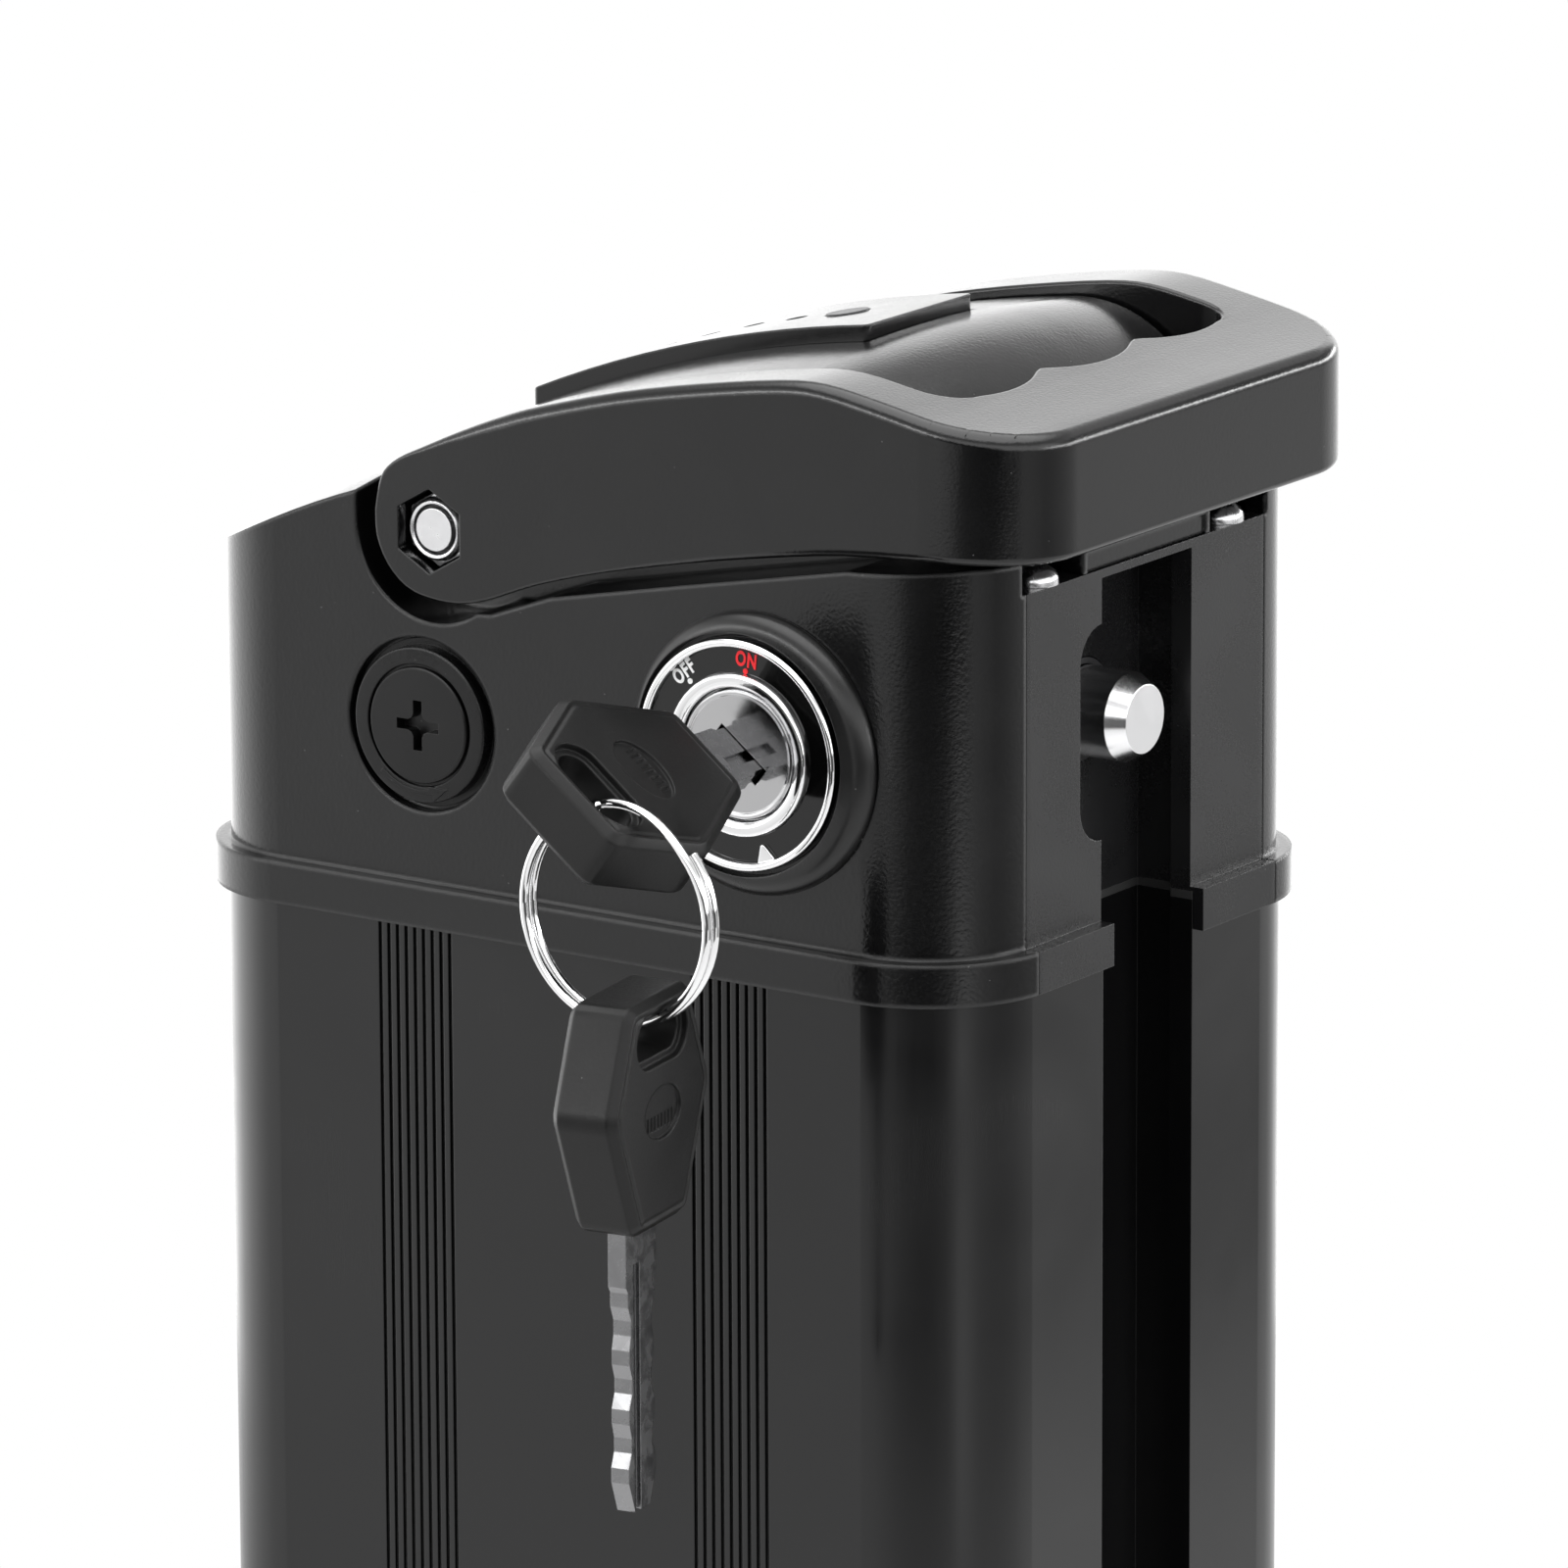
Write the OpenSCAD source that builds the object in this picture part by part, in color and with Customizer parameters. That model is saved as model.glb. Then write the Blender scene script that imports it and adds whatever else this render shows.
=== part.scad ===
// Slide-in battery for an electric bicycle: an aluminium case between two moulded
// end caps, with a folding handle, a key lock with a latch pin, and a fuse.
// Origin: centre of the flat bottom face. +Z up, +X to the narrow face with the
// rail channel, -Y to the wide face with the lock and the fuse.

/* [Case] */
// Width of the case from its rear narrow face to its channel face
case_w = 110; // [106:1:116]
// Thickness of the case between its wide faces
case_t = 76; // [74:1:84]
// Outer corner radius of the case
case_r = 14; // [11:0.5:16]
// Wall of the aluminium extrusion
case_wall = 2; // [1.4:0.1:2.4]
// Length of aluminium between the two end caps
case_show = 294; // [288:1:420]
// Number of grooves in each decorative band
groove_count = 9; // [3:1:11]
// Pitch of the grooves
groove_pitch = 1.24; // [1:0.02:1.5]
// Width of one groove
groove_w = 0.5; // [0.3:0.05:0.8]
// Depth of one groove
groove_depth = 0.45; // [0.2:0.05:0.8]

/* [Rail channel] */
// Width of the channel mouth
rail_mouth = 18.8; // [17:0.2:20]
// Width of the channel behind its lips
rail_inner = 23.4; // [22:0.2:24]
// Depth of the channel from the case face
rail_depth = 9; // [8:0.2:9.6]
// Thickness of the two channel lips
rail_lip = 3; // [2.4:0.1:3.6]

/* [End caps] */
// Height of the bottom cap
base_h = 24; // [23:0.5:30]
// Wall of both moulded caps
cap_wall = 3; // [2.4:0.1:3.4]
// Height of the raised band at each cap's rim
band_h = 5; // [4.8:0.1:7]
// How far each band stands out from the case
band_step = 1.5; // [1:0.1:2.2]
// How far the case runs up inside each band
lap = 3.5; // [3:0.1:3.6]
// Thickness of the rubber gasket under each cap
gasket_h = 1; // [0.6:0.1:1.2]

/* [Handle] */
// Distance of the handle pivot behind the case axis
pivot_back = 18.1; // [17:0.1:19]
// Height of the handle pivot above the top band's lower edge
pivot_up = 46.8; // [45.5:0.1:48]
// Height of the crest of the dome above the band's lower edge
crest_up = 70.5; // [69:0.1:74]
// Radius of the long curve along the top
crest_r = 169; // [150:1:190]
// Overall width of the handle across its arms
handle_w = 77; // [76:0.2:79]
// Thickness of each handle arm
arm_t = 9.1; // [8:0.1:9.6]
// Radius of the round end of each arm
arm_end_r = 8; // [7.6:0.1:8.6]
// Distance of the handle's front face in front of the case axis
handle_front = 62; // [60:0.5:66]
// Corner radius at the front of the handle
handle_r = 13; // [8:0.5:14]
// Diameter of the pivot bolt
bolt_d = 5; // [4:0.1:5.4]

/* [Lock] */
// Distance of the lock axis behind the cap's channel face
lock_inset = 29.1; // [28.7:0.1:29.5]
// Height of the lock axis above the band's lower edge
lock_up = 26.7; // [25.4:0.1:27.5]
// Outer diameter of the black bezel
bezel_d = 33; // [31:0.1:35]
// Outer diameter of the chrome trim ring
trim_d = 26.9; // [26.2:0.1:27.6]
// Diameter of the turning core
core_d = 15; // [14:0.1:15.6]
// Diameter of the latch pin's nose
pin_d = 10.5; // [9:0.1:11]
// Travel of the latch pin
pin_travel = 8; // [7:0.1:8.4]

/* [Keys] */
// Length of a key head
head_l = 26.5; // [26:0.5:28]
// Greatest width of a key head
head_w = 25; // [24:0.5:27]
// Thickness of a key head
head_t = 8; // [7.4:0.1:8.2]
// Length of a key blade
blade_l = 33; // [30:0.5:33]
// Width of a key blade
blade_w = 7.5; // [6.5:0.1:7.8]
// Thickness of a key blade
blade_t = 2.2; // [1.8:0.1:2.3]
// Wire diameter of the split ring
ring_wire = 1.1; // [0.9:0.05:1.15]
// Mean diameter of the split ring
ring_mean = 24.7; // [24.4:0.1:25.2]

/* [Fuse] */
// Distance of the fuse axis in front of the cap's rear face
fuse_inset = 34.7; // [33.1:0.2:35.7]
// Height of the fuse axis above the band's lower edge
fuse_up = 23.7; // [22:0.1:24.5]
// Diameter of the fuse cap
fuse_cap_d = 20; // [18:0.1:21]

/* [Cells] */
// Diameter of a cell
cell_d = 18.4; // [18:0.1:18.6]
// Length of a cell
cell_l = 65; // [62:0.5:65.4]
// Pitch of the cells
cell_pitch = 19.6; // [19.4:0.1:19.7]

/* [Hidden] */

$fn = 64;
// Sides of the long curves, of the slight crown across them, and of one cell
fine = 360;
finest = 720;
cell_sides = 32;
// Sides of a swept wire and of a lead
wire_sides = 6;
lead_sides = 8;

// Overrun of every cut
cut = 1;
// Clearance between two pieces that slide together by hand
fit = 0.1;
// Running clearance, on the radius, of a shaft in its bore
run = 0.06;
// Gap round the moving handle
swing_gap = 1.4;

// Derived heights and outlines of the caps
top_z = base_h + case_show;
cap_step = 0.3;
cap_w = case_w - 2 * cap_step;
cap_t = case_t - 2 * cap_step;
cap_r = case_r - cap_step;
band_w = case_w + 2 * band_step;
band_t = case_t + 2 * band_step;
band_r = case_r + band_step;
shoulder = lap + gasket_h;
face_x = case_w / 2;
case_len = case_show + 2 * lap;
groove_rear_x = -0.192 * case_w;
groove_front_x = 0.209 * case_w;
port_d = 7;
port_hole_d = 3.2;
port_inset = 6.4;
port_x = face_x - case_r + port_inset;
port_front_x = port_x;
port_y = case_t / 2 - case_r + port_inset;

// Derived places on the handle and dome
pivot_z = top_z + pivot_up;
crest_x = 44.8;
crest_cz = top_z + crest_up - crest_r;
handle_len = handle_front + pivot_back;
handle_rise = crest_up - pivot_up;
arm_in = handle_w / 2 - arm_t;
dome_gap = 0.8;
dome_half = arm_in - dome_gap;
dome_front = 42;
// Round nose of the dome, tangent to the long curve at place nose_x
dome_nose_r = 19;
nose_x = 26;
nose_cx = crest_x - (crest_r - dome_nose_r) * sin(crest_slope(nose_x));
nose_cz = crest_cz + (crest_r - dome_nose_r) * cos(crest_slope(nose_x));
notch_r = arm_end_r + 2.9;
arm_back = 7.4;
// Radius of the cap's rear slope, the place of its centre, and the radius of the crown across the top
rear_r = 128;
rear_cx = 11.2;
crown_r = 250;
// Underside of an arm, as shares of the handle's length and rise
under_shares = [[0.006, -0.336], [0.101, -0.316], [0.206, -0.186], [0.444, -0.021], [0.712, 0.157], [0.875, 0.187], [1, 0.157]];
// Rounded top of the arm's rear end, as shares of the same
arm_top_shares = [[-0.09, 0.18], [-0.081, 0.27], [-0.056, 0.34], [-0.016, 0.405], [0.054, 0.515], [0.128, 0.618]];
// Where the long curve takes over from the arm's rear end, as a share of the handle's length
crest_from_share = 0.207;
// Top of the handle's front, as shares of the same
front_top_shares = [[0.675, 1], [0.85, 0.905], [1, 0.845]];
grip_front = 48.7;
grip_half = 30.4;
lobe_r = 18.9;
lobe_pitch = 19.5;
edge_r = 2.8;

// Derived places of the lock and latch
lock_x = cap_w / 2 - lock_inset;
lock_z = top_z + lock_up;
lock_face = cap_t / 2;
bezel_h = 2.2;
// How far the round bezel is moulded off the lock's axis
bezel_shift = 1.2;
trim_h = 2.6;
trim_band = 1.05;
seat_h = 0.9;
dial_h = 0.8;
core_ring_d = 18.9;
core_face = 2;
body_d = 24;
body_l = 29;
cam_gap = 0.6;
cam_t = 2;
cam_d = 16.5;
tail_d = 6;
peg_d = 3;
peg_r = pin_travel / sqrt(2);
peg_l = 8;
peg_slack = 0.35;
back_wall = 2;
channel_x = face_x - rail_depth;
pin_tip_x = face_x - 0.5;
pin_chamfer = 1.25;
pin_chamfer_l = 2.2;
shank_d = pin_d - 0.4;
yoke_w = 10;
yoke_h = 17;
yoke_t = 5;
yoke_x = lock_x + pin_travel / 2;
frame_t = 1.6;
frame_y = pin_d / 2 + 0.6;
spring_wire = 0.8;
spring_d = 8;
spring_turns = 4;

// Derived places of the keys
head_out = 10.5;
slot_u = 21.8;
slot_l = 11;
slot_h = 4.4;
slot_sink = 1.2;
slot_rim = 1;
key_turn = 142;
ring_y = -(lock_face + head_out + slot_u);
ring_dx = 5.05;
ring_dz = -11.2;
ring_cx = lock_x + ring_dx;
ring_cz = lock_z + ring_dz;
ring_gap = 0.45;
ring_angle = -78;
spare_yaw = 9;
hang = 0.5;
// How far the spare key has slid along its slot
spare_slide = 2.2;

// Derived places of the fuse
fuse_x = fuse_inset - cap_w / 2;
fuse_z = top_z + fuse_up;
fuse_socket_d = 15;
fuse_socket_l = 34;
fuse_recess = 1.6;
fuse_d = 6.3;
fuse_l = 25;

// Derived numbers and places of the cells: as many as fit between the screw ports and the board
foot_room = 20;
head_room = 10;
board_room = 8.8;
cells_front = channel_x - back_wall - board_room;
cells_z = base_h + foot_room;
cell_cols = floor((cells_front + port_x - port_d / 2) / cell_pitch);
cell_rows = floor((top_z - cells_z - head_room) / cell_pitch);
pack_w = cell_cols * cell_pitch;
pack_h = cell_rows * cell_pitch;
cells_x = cells_front - pack_w / 2;
holder_t = 5;
strip_t = 0.3;
strip_w = 8;
board_t = 1.6;

// Derived places in the bottom cap
socket_w = 42;
socket_t = 18;
socket_h = 17;
charge_z = base_h / 2 - 1;
jack_d = 8.3;
jack_l = 8;
jack_recess_d = 13.4;
jack_recess = 9;

// Label plate on the dome
plate_w = 21.7;
plate_rear_x = -23.3;
plate_front_x = 23.8;
plate_t = 2.2;
plate_sink = 0.5;
button_x = 14;
button_d = 5;
light_d = 2.4;
light_pitch = 6;

// Height of the long curve above the world origin at place x
function crest(x) = crest_cz + sqrt(crest_r * crest_r - (x - crest_x) * (x - crest_x));
// Slope of the long curve at place x, in degrees
function crest_slope(x) = asin((crest_x - x) / crest_r);

// Rectangle of width w and depth t with round corners
module rounded(w, t, r) {
    square([w - 2 * r, t], center = true);
    square([w, t - 2 * r], center = true);
    for (sx = [-1, 1], sy = [-1, 1])
        translate([sx * (w / 2 - r), sy * (t / 2 - r)]) circle(r);
}

// Tube with its foot at zero
module tube(od, id, h) {
    difference() {
        cylinder(d = od, h = h);
        translate([0, 0, -cut]) cylinder(d = id, h = h + 2 * cut);
    }
}

// Turns an outline in the XZ plane into a slab of thickness t, centred on y = 0
module slab(t) {
    rotate([90, 0, 0]) translate([0, 0, -t / 2]) linear_extrude(t) children();
}

// Puts children on the wide face with the lock, local +Z pointing outwards
module on_face(x, z) {
    translate([x, -lock_face, z]) rotate([90, 0, 0]) children();
}

// Section of the rail channel, cut from the face inwards
module rail_section(grow = 0) {
    translate([channel_x - grow, -rail_inner / 2 - grow])
        square([rail_depth - rail_lip + 2 * grow, rail_inner + 2 * grow]);
    translate([channel_x, -rail_mouth / 2]) square([rail_depth + 2 * band_step + cut, rail_mouth]);
}

// Band of fine grooves on one wide face
module groove_band(x, side) {
    for (i = [0 : groove_count - 1])
        translate([x + (i - (groove_count - 1) / 2) * groove_pitch - groove_w / 2,
                   side * case_t / 2 - groove_depth])
            square([groove_w, 2 * groove_depth]);
}

// Inside of the case, between its walls and round the channel
module case_cavity() {
    difference() {
        rounded(case_w - 2 * case_wall, case_t - 2 * case_wall, case_r - case_wall);
        translate([channel_x - case_wall, -rail_inner / 2 - case_wall])
            square([rail_depth + case_wall, rail_inner + 2 * case_wall]);
    }
}

// Screw ports in the four corners of the extrusion
module port_places() {
    for (side = [-1, 1]) {
        translate([-port_x, side * port_y]) children();
        translate([port_front_x, side * port_y]) children();
    }
}

module case() {
    color([0.2, 0.2, 0.21])
    translate([0, 0, base_h - lap]) linear_extrude(case_len)
        difference() {
            rounded(case_w, case_t, case_r);
            difference() {
                case_cavity();
                port_places() circle(d = port_d);
            }
            port_places() circle(d = port_hole_d);
            rail_section();
            for (side = [-1, 1]) {
                groove_band(groove_rear_x, side);
                groove_band(groove_front_x, side);
            }
        }
}

// Rubber ring between the case's end and a cap's shoulder
module gasket(z) {
    translate([0, 0, z]) linear_extrude(gasket_h)
        difference() {
            rounded(case_w, case_t, case_r);
            case_cavity();
            rail_section();
        }
}

module gasket_top() {
    color([0.08, 0.08, 0.08]) gasket(top_z + lap);
}

module gasket_bottom() {
    color([0.08, 0.08, 0.08]) gasket(base_h - shoulder);
}

// Outline above which the cap is cut away to let an arm pass, lowered by d
module notch_outline(d) {
    translate([-pivot_back, pivot_z]) circle(notch_r + d);
    polygon(concat(
        [[-pivot_back - notch_r - d, top_z + crest_up + cut], [-pivot_back - notch_r - d, pivot_z]],
        [for (p = under_shares)
            [p[0] * handle_len - pivot_back, pivot_z + p[1] * handle_rise - swing_gap - d]],
        [[handle_front + cut, pivot_z - d], [handle_front + cut, top_z + crest_up + cut]]));
}

// Drum of radius r centred on place x and height z, axis along Y, its rim crowned across
module crowned_drum(x, z, r) {
    translate([x, 0, z]) rotate([90, 0, 0]) rotate_extrude($fn = fine) intersection() {
        translate([0, -cap_t / 2]) square([r, cap_t]);
        translate([r - crown_r, 0]) circle(crown_r, $fn = finest);
    }
}

// Half plane on one side of the line where the nose meets the long curve, from place x
module beside_nose(x) {
    translate([crest_x, crest_cz]) rotate(crest_slope(nose_x)) translate([x, 0]) square([cap_w, crest_r + cut]);
}

// Body of the top cap with every wall moved in by d
module cap_form(d) {
    notch_x = -pivot_back - notch_r;
    // Lower body, under the arms
    intersection() {
        translate([0, 0, top_z + d])
            linear_extrude(crest_up) rounded(cap_w - 2 * d, cap_t - 2 * d, cap_r - d);
        difference() {
            slab(cap_t) {
                translate([notch_x - cap_wall - d, top_z]) square([cap_wall + d, pivot_up]);
                translate([notch_x, top_z]) square([cap_w, crest_up]);
            }
            slab(cap_t + 2 * cut) notch_outline(d);
        }
    }
    // Rear, at full width behind the arms
    intersection() {
        translate([0, 0, top_z + d])
            linear_extrude(crest_up) rounded(cap_w - 2 * d, cap_t - 2 * d, cap_r - d);
        slab(cap_t) translate([-cap_w / 2, top_z]) square([cap_w / 2 + notch_x - d, crest_up]);
        crowned_drum(rear_cx, crest(notch_x) - cap_step
                     - sqrt(rear_r * rear_r - (notch_x - rear_cx) * (notch_x - rear_cx)), rear_r - d);
    }
    // Dome between the arms
    intersection() {
        union() {
            intersection() {
                crowned_drum(crest_x, crest_cz, crest_r - d);
                slab(cap_t) beside_nose(-cap_w);
            }
            intersection() {
                crowned_drum(nose_cx, nose_cz, dome_nose_r - d);
                slab(cap_t) beside_nose(0);
            }
            slab(cap_t) translate([0, top_z]) square([dome_front, nose_cz - top_z]);
        }
        slab(2 * (dome_half - d)) translate([notch_x - cut, top_z + d])
            square([dome_front - notch_x + cut - d, crest_up]);
    }
}

// Half width, foot and height of the opening that the channel insert fills
insert_half = 24.8;
insert_h = 46;
insert_front = cap_w / 2;
insert_back = channel_x - back_wall;
screw_y = 19.4;
screw_inset = 2.7;
screw_x = insert_front - screw_inset;
screw_head_d = 5.8;
screw_head_h = 2.4;
screw_pocket_w = 12.4;
screw_d = 3;
screw_l = 12;
// Boss round the handle's pivot, as a share of the bolt's diameter
boss_share = 2.6;

module top_cap() {
    color([0.13, 0.13, 0.135])
    difference() {
        union() {
            difference() {
                cap_form(0);
                difference() {
                    cap_form(cap_wall);
                    // Boss that holds the sleeve of the handle pivot
                    translate([-pivot_back, dome_half, pivot_z]) rotate([90, 0, 0])
                        cylinder(d = boss_share * bolt_d, h = 2 * dome_half);
                }
            }
            translate([0, 0, top_z]) linear_extrude(band_h) rounded(band_w, band_t, band_r);
        }
        // Room for the end of the case and its gasket
        translate([0, 0, top_z - cut]) linear_extrude(shoulder + cut)
            rounded(case_w + 2 * fit, case_t + 2 * fit, case_r + fit);
        translate([0, 0, top_z]) linear_extrude(band_h + cut)
            rounded(cap_w - 2 * cap_wall, cap_t - 2 * cap_wall, cap_r - cap_wall);
        // Opening for the channel insert
        translate([insert_back - fit, -insert_half - fit, top_z - cut])
            cube([rail_depth + back_wall + 2 * band_step + cut, 2 * (insert_half + fit), insert_h + fit + cut]);
        // Pockets for the two screws, open to the front
        for (side = [-1, 1])
            translate([screw_x - screw_head_d / 2 - fit, side * screw_y - screw_pocket_w / 2, top_z + insert_h])
                cube([3 * screw_head_d, screw_pocket_w, 2 * screw_head_h]);
        // Shallow recess in the front edge between the pockets
        translate([insert_front - cap_step, -0.5 * insert_half, top_z + insert_h])
            cube([cut, insert_half, screw_head_h]);
        // Bores for the lock body, the fuse socket and the pivot sleeve
        on_face(lock_x, lock_z) translate([0, 0, -body_l]) cylinder(d = body_d + 2 * fit, h = body_l + cut);
        on_face(fuse_x, fuse_z) translate([0, 0, -fuse_socket_l])
            cylinder(d = fuse_socket_d + 2 * fit, h = fuse_socket_l + cut);
        on_face(fuse_x, fuse_z) translate([0, 0, -fuse_recess])
            cylinder(d = fuse_cap_d + 6 * fit, h = fuse_recess + cut);
        translate([-pivot_back, dome_half + cut, pivot_z]) rotate([90, 0, 0])
            cylinder(d = sleeve_d + 2 * fit, h = 2 * (dome_half + cut));
        // Seat of the label plate, and the well under it for the gauge
        slab(plate_w + 2 * fit) plate_outline(fit);
        slab(gauge_w + 2 * fit) band_on_crest(gauge_rear_x - fit, gauge_front_x + fit, -cap_wall - cut, 0);
    }
}

sleeve_d = 8;
gauge_w = 12;
gauge_rear_x = -14;
gauge_front_x = button_x + button_d;
gauge_t = 1.2;

// Strip that follows the long curve from height low to height high above it
module band_on_crest(x0, x1, low, high) {
    intersection() {
        translate([x0, crest_cz]) square([x1 - x0, crest_r + high + cut]);
        difference() {
            translate([crest_x, crest_cz]) circle(crest_r + high, $fn = fine);
            translate([crest_x, crest_cz]) circle(crest_r + low, $fn = fine);
        }
    }
}

// Side outline of the label plate, grown by d at its foot and ends
module plate_outline(d) {
    band_on_crest(plate_rear_x - d, plate_front_x + d, -plate_sink - d, plate_t - plate_sink);
}

// Puts children square to the long curve at place x, local +Z pointing outwards
module on_crest(x) {
    translate([x, 0, crest(x)]) rotate([0, -crest_slope(x), 0]) children();
}

module label_plate() {
    color([0.1, 0.1, 0.1])
    difference() {
        slab(plate_w) plate_outline(0);
        for (i = [0 : 3])
            on_crest(light_x(i)) translate([0, 0, -plate_t]) cylinder(d = light_d + 2 * fit, h = 2 * plate_t);
        on_crest(button_x) translate([0, 0, -plate_t]) cylinder(d = button_d + 4 * fit, h = 2 * plate_t);
    }
}

// Place of gauge light number i
function light_x(i) = gauge_rear_x + gauge_w / 4 + i * light_pitch;

module gauge_board() {
    color([0.1, 0.35, 0.2])
        slab(gauge_w) band_on_crest(gauge_rear_x, gauge_front_x, -cap_wall - gauge_t + 2 * fit, -cap_wall + 2 * fit);
}

module gauge_lights() {
    color([0.4, 0.8, 0.4])
    for (i = [0 : 3])
        on_crest(light_x(i)) translate([0, 0, -cap_wall + 3 * fit])
            cylinder(d = light_d, h = cap_wall + plate_t - plate_sink - 5 * fit);
}

button_travel = 0.6;
button_proud = 0.15;

module test_button() {
    color([0.3, 0.3, 0.3])
    on_crest(button_x) translate([0, 0, -cap_wall + 4 * fit + button_travel])
        cylinder(d = button_d, h = cap_wall + plate_t - plate_sink + button_proud - button_travel - 4 * fit);
}

module channel_insert() {
    color([0.16, 0.16, 0.165])
    difference() {
        union() {
            intersection() {
                translate([0, 0, top_z]) linear_extrude(band_h) rounded(band_w, band_t, band_r);
                translate([insert_back, -insert_half, top_z])
                    cube([rail_depth + back_wall + band_step, 2 * insert_half, band_h]);
            }
            intersection() {
                translate([0, 0, top_z]) linear_extrude(insert_h) rounded(cap_w, cap_t, cap_r);
                translate([insert_back, -insert_half, top_z])
                    cube([rail_depth + back_wall, 2 * insert_half, insert_h]);
            }
        }
        translate([0, 0, top_z - cut]) linear_extrude(shoulder + cut)
            rounded(case_w + 2 * fit, case_t + 2 * fit, case_r + fit);
        // The channel, closed at its top by a thin rim
        translate([0, 0, top_z - cut]) linear_extrude(insert_h - back_wall / 2 + cut) rail_section();
        // Weight-saving pockets behind the front face
        for (side = [-1, 1])
            translate([insert_back - cut, side * pocket_y - pocket_w / 2, top_z + band_h + cap_wall])
                cube([rail_depth + back_wall + cut - cap_wall, pocket_w, insert_h - band_h - 5 * cap_wall]);
        // Bore for the latch pin's guide
        translate([insert_back - cut, 0, lock_z]) rotate([0, 90, 0])
            cylinder(d = guide_d + 2 * fit, h = back_wall + 2 * cut);
        // Cut-out in the lip beside the latch
        for (z = [lip_cut_low + lip_cut_d, lip_cut_high - lip_cut_d])
            translate([channel_x, -rail_mouth / 2, top_z + z]) rotate([0, 90, 0])
                cylinder(r = lip_cut_d, h = rail_depth + cut);
        translate([channel_x, -rail_mouth / 2 - lip_cut_d, top_z + lip_cut_low + lip_cut_d])
            cube([rail_depth + cut, lip_cut_d, lip_cut_high - lip_cut_low - 2 * lip_cut_d]);
        // Clearance holes of the two screws
        for (side = [-1, 1])
            translate([screw_x, side * screw_y, top_z + insert_h - screw_l - cut])
                cylinder(d = screw_d + 2 * fit, h = screw_l + 2 * cut);
    }
}

pocket_w = 7;
pocket_y = insert_half - cap_wall - pocket_w / 2;
lip_cut_low = 14.5;
lip_cut_high = 39.7;
lip_cut_d = 4.4;
guide_d = 12.1;
guide_flange_d = 15.6;

// Pan-head screw with a cross recess, its head's seat at zero
module pan_screw(d, l, hd, hh) {
    difference() {
        union() {
            rotate_extrude() intersection() {
                square([hd / 2, hh]);
                translate([0, hh - hd]) circle(hd);
            }
            translate([0, 0, -l]) cylinder(d = d, h = l);
        }
        for (a = [0, 90])
            rotate(a) translate([-hd / 4, -hd / 16, hh / 2]) cube([hd / 2, hd / 8, hh]);
    }
}

module insert_screws() {
    color([0.75, 0.75, 0.76])
    for (side = [-1, 1])
        translate([screw_x, side * screw_y, top_z + insert_h])
            pan_screw(screw_d, screw_l, screw_head_d, screw_head_h);
}

// Side outline of the handle
module handle_outline() {
    translate([-pivot_back, pivot_z]) circle(arm_end_r);
    intersection() {
        translate([crest_x, crest_cz]) circle(crest_r, $fn = fine);
        polygon(concat(
            [[-pivot_back - arm_back, pivot_z]],
            [for (p = arm_top_shares) [p[0] * handle_len - pivot_back, pivot_z + p[1] * handle_rise]],
            [[-pivot_back + crest_from_share * handle_len, top_z + crest_up + cut], [crest_x / 2, top_z + crest_up + cut]],
            [for (p = front_top_shares) [p[0] * handle_len - pivot_back, pivot_z + p[1] * handle_rise]],
            [for (i = [len(under_shares) - 1 : -1 : 0])
                [under_shares[i][0] * handle_len - pivot_back, pivot_z + under_shares[i][1] * handle_rise]]));
    }
}

// Outline of the handle from above
module handle_plan() {
    rear = -pivot_back - arm_end_r - cut;
    difference() {
        union() {
            translate([rear, -handle_w / 2]) square([handle_front - handle_r - rear, handle_w]);
            translate([0, -handle_w / 2 + handle_r]) square([handle_front, handle_w - 2 * handle_r]);
            for (side = [-1, 1])
                translate([handle_front - handle_r, side * (handle_w / 2 - handle_r)]) circle(handle_r);
        }
        translate([rear - cut, -arm_in]) square([grip_front - lobe_r / 2 - rear + cut, 2 * arm_in]);
        // Finger grip: three shallow lobes in the front edge of the opening
        intersection() {
            for (i = [-1 : 1]) translate([grip_front - lobe_r, i * lobe_pitch]) circle(lobe_r);
            translate([0, -grip_half]) square([handle_front, 2 * grip_half]);
        }
    }
}

pocket_d = 10;
pocket_depth = 5;

module handle() {
    color([0.14, 0.14, 0.145])
    difference() {
        intersection() {
            slab(handle_w) handle_outline();
            translate([0, 0, top_z]) linear_extrude(2 * crest_up) handle_plan();
            // Long curve of the top with rounded outer edges
            translate([crest_x, 0, crest_cz]) rotate([90, 0, 0]) rotate_extrude($fn = fine) {
                translate([0, -handle_w / 2 + edge_r]) square([crest_r, handle_w - 2 * edge_r]);
                translate([0, -handle_w / 2]) square([crest_r - edge_r, handle_w]);
                for (side = [-1, 1])
                    translate([crest_r - edge_r, side * (handle_w / 2 - edge_r)]) circle(edge_r);
            }
        }
        for (side = [-1, 1])
            translate([-pivot_back, side * (handle_w / 2 - pocket_depth / 2 + cut / 2), pivot_z])
                rotate([90, 0, 0]) cylinder(d = pocket_d, h = pocket_depth + cut, center = true, $fn = 6);
        translate([-pivot_back, handle_w / 2 + cut, pivot_z]) rotate([90, 0, 0])
            cylinder(r = bolt_d / 2 + run, h = handle_w + 2 * cut);
    }
}

nut_d = 9.2;
nut_h = 4;
// Collar of the lock nut, as a share of its hexagon
collar_share = 0.8;

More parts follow.
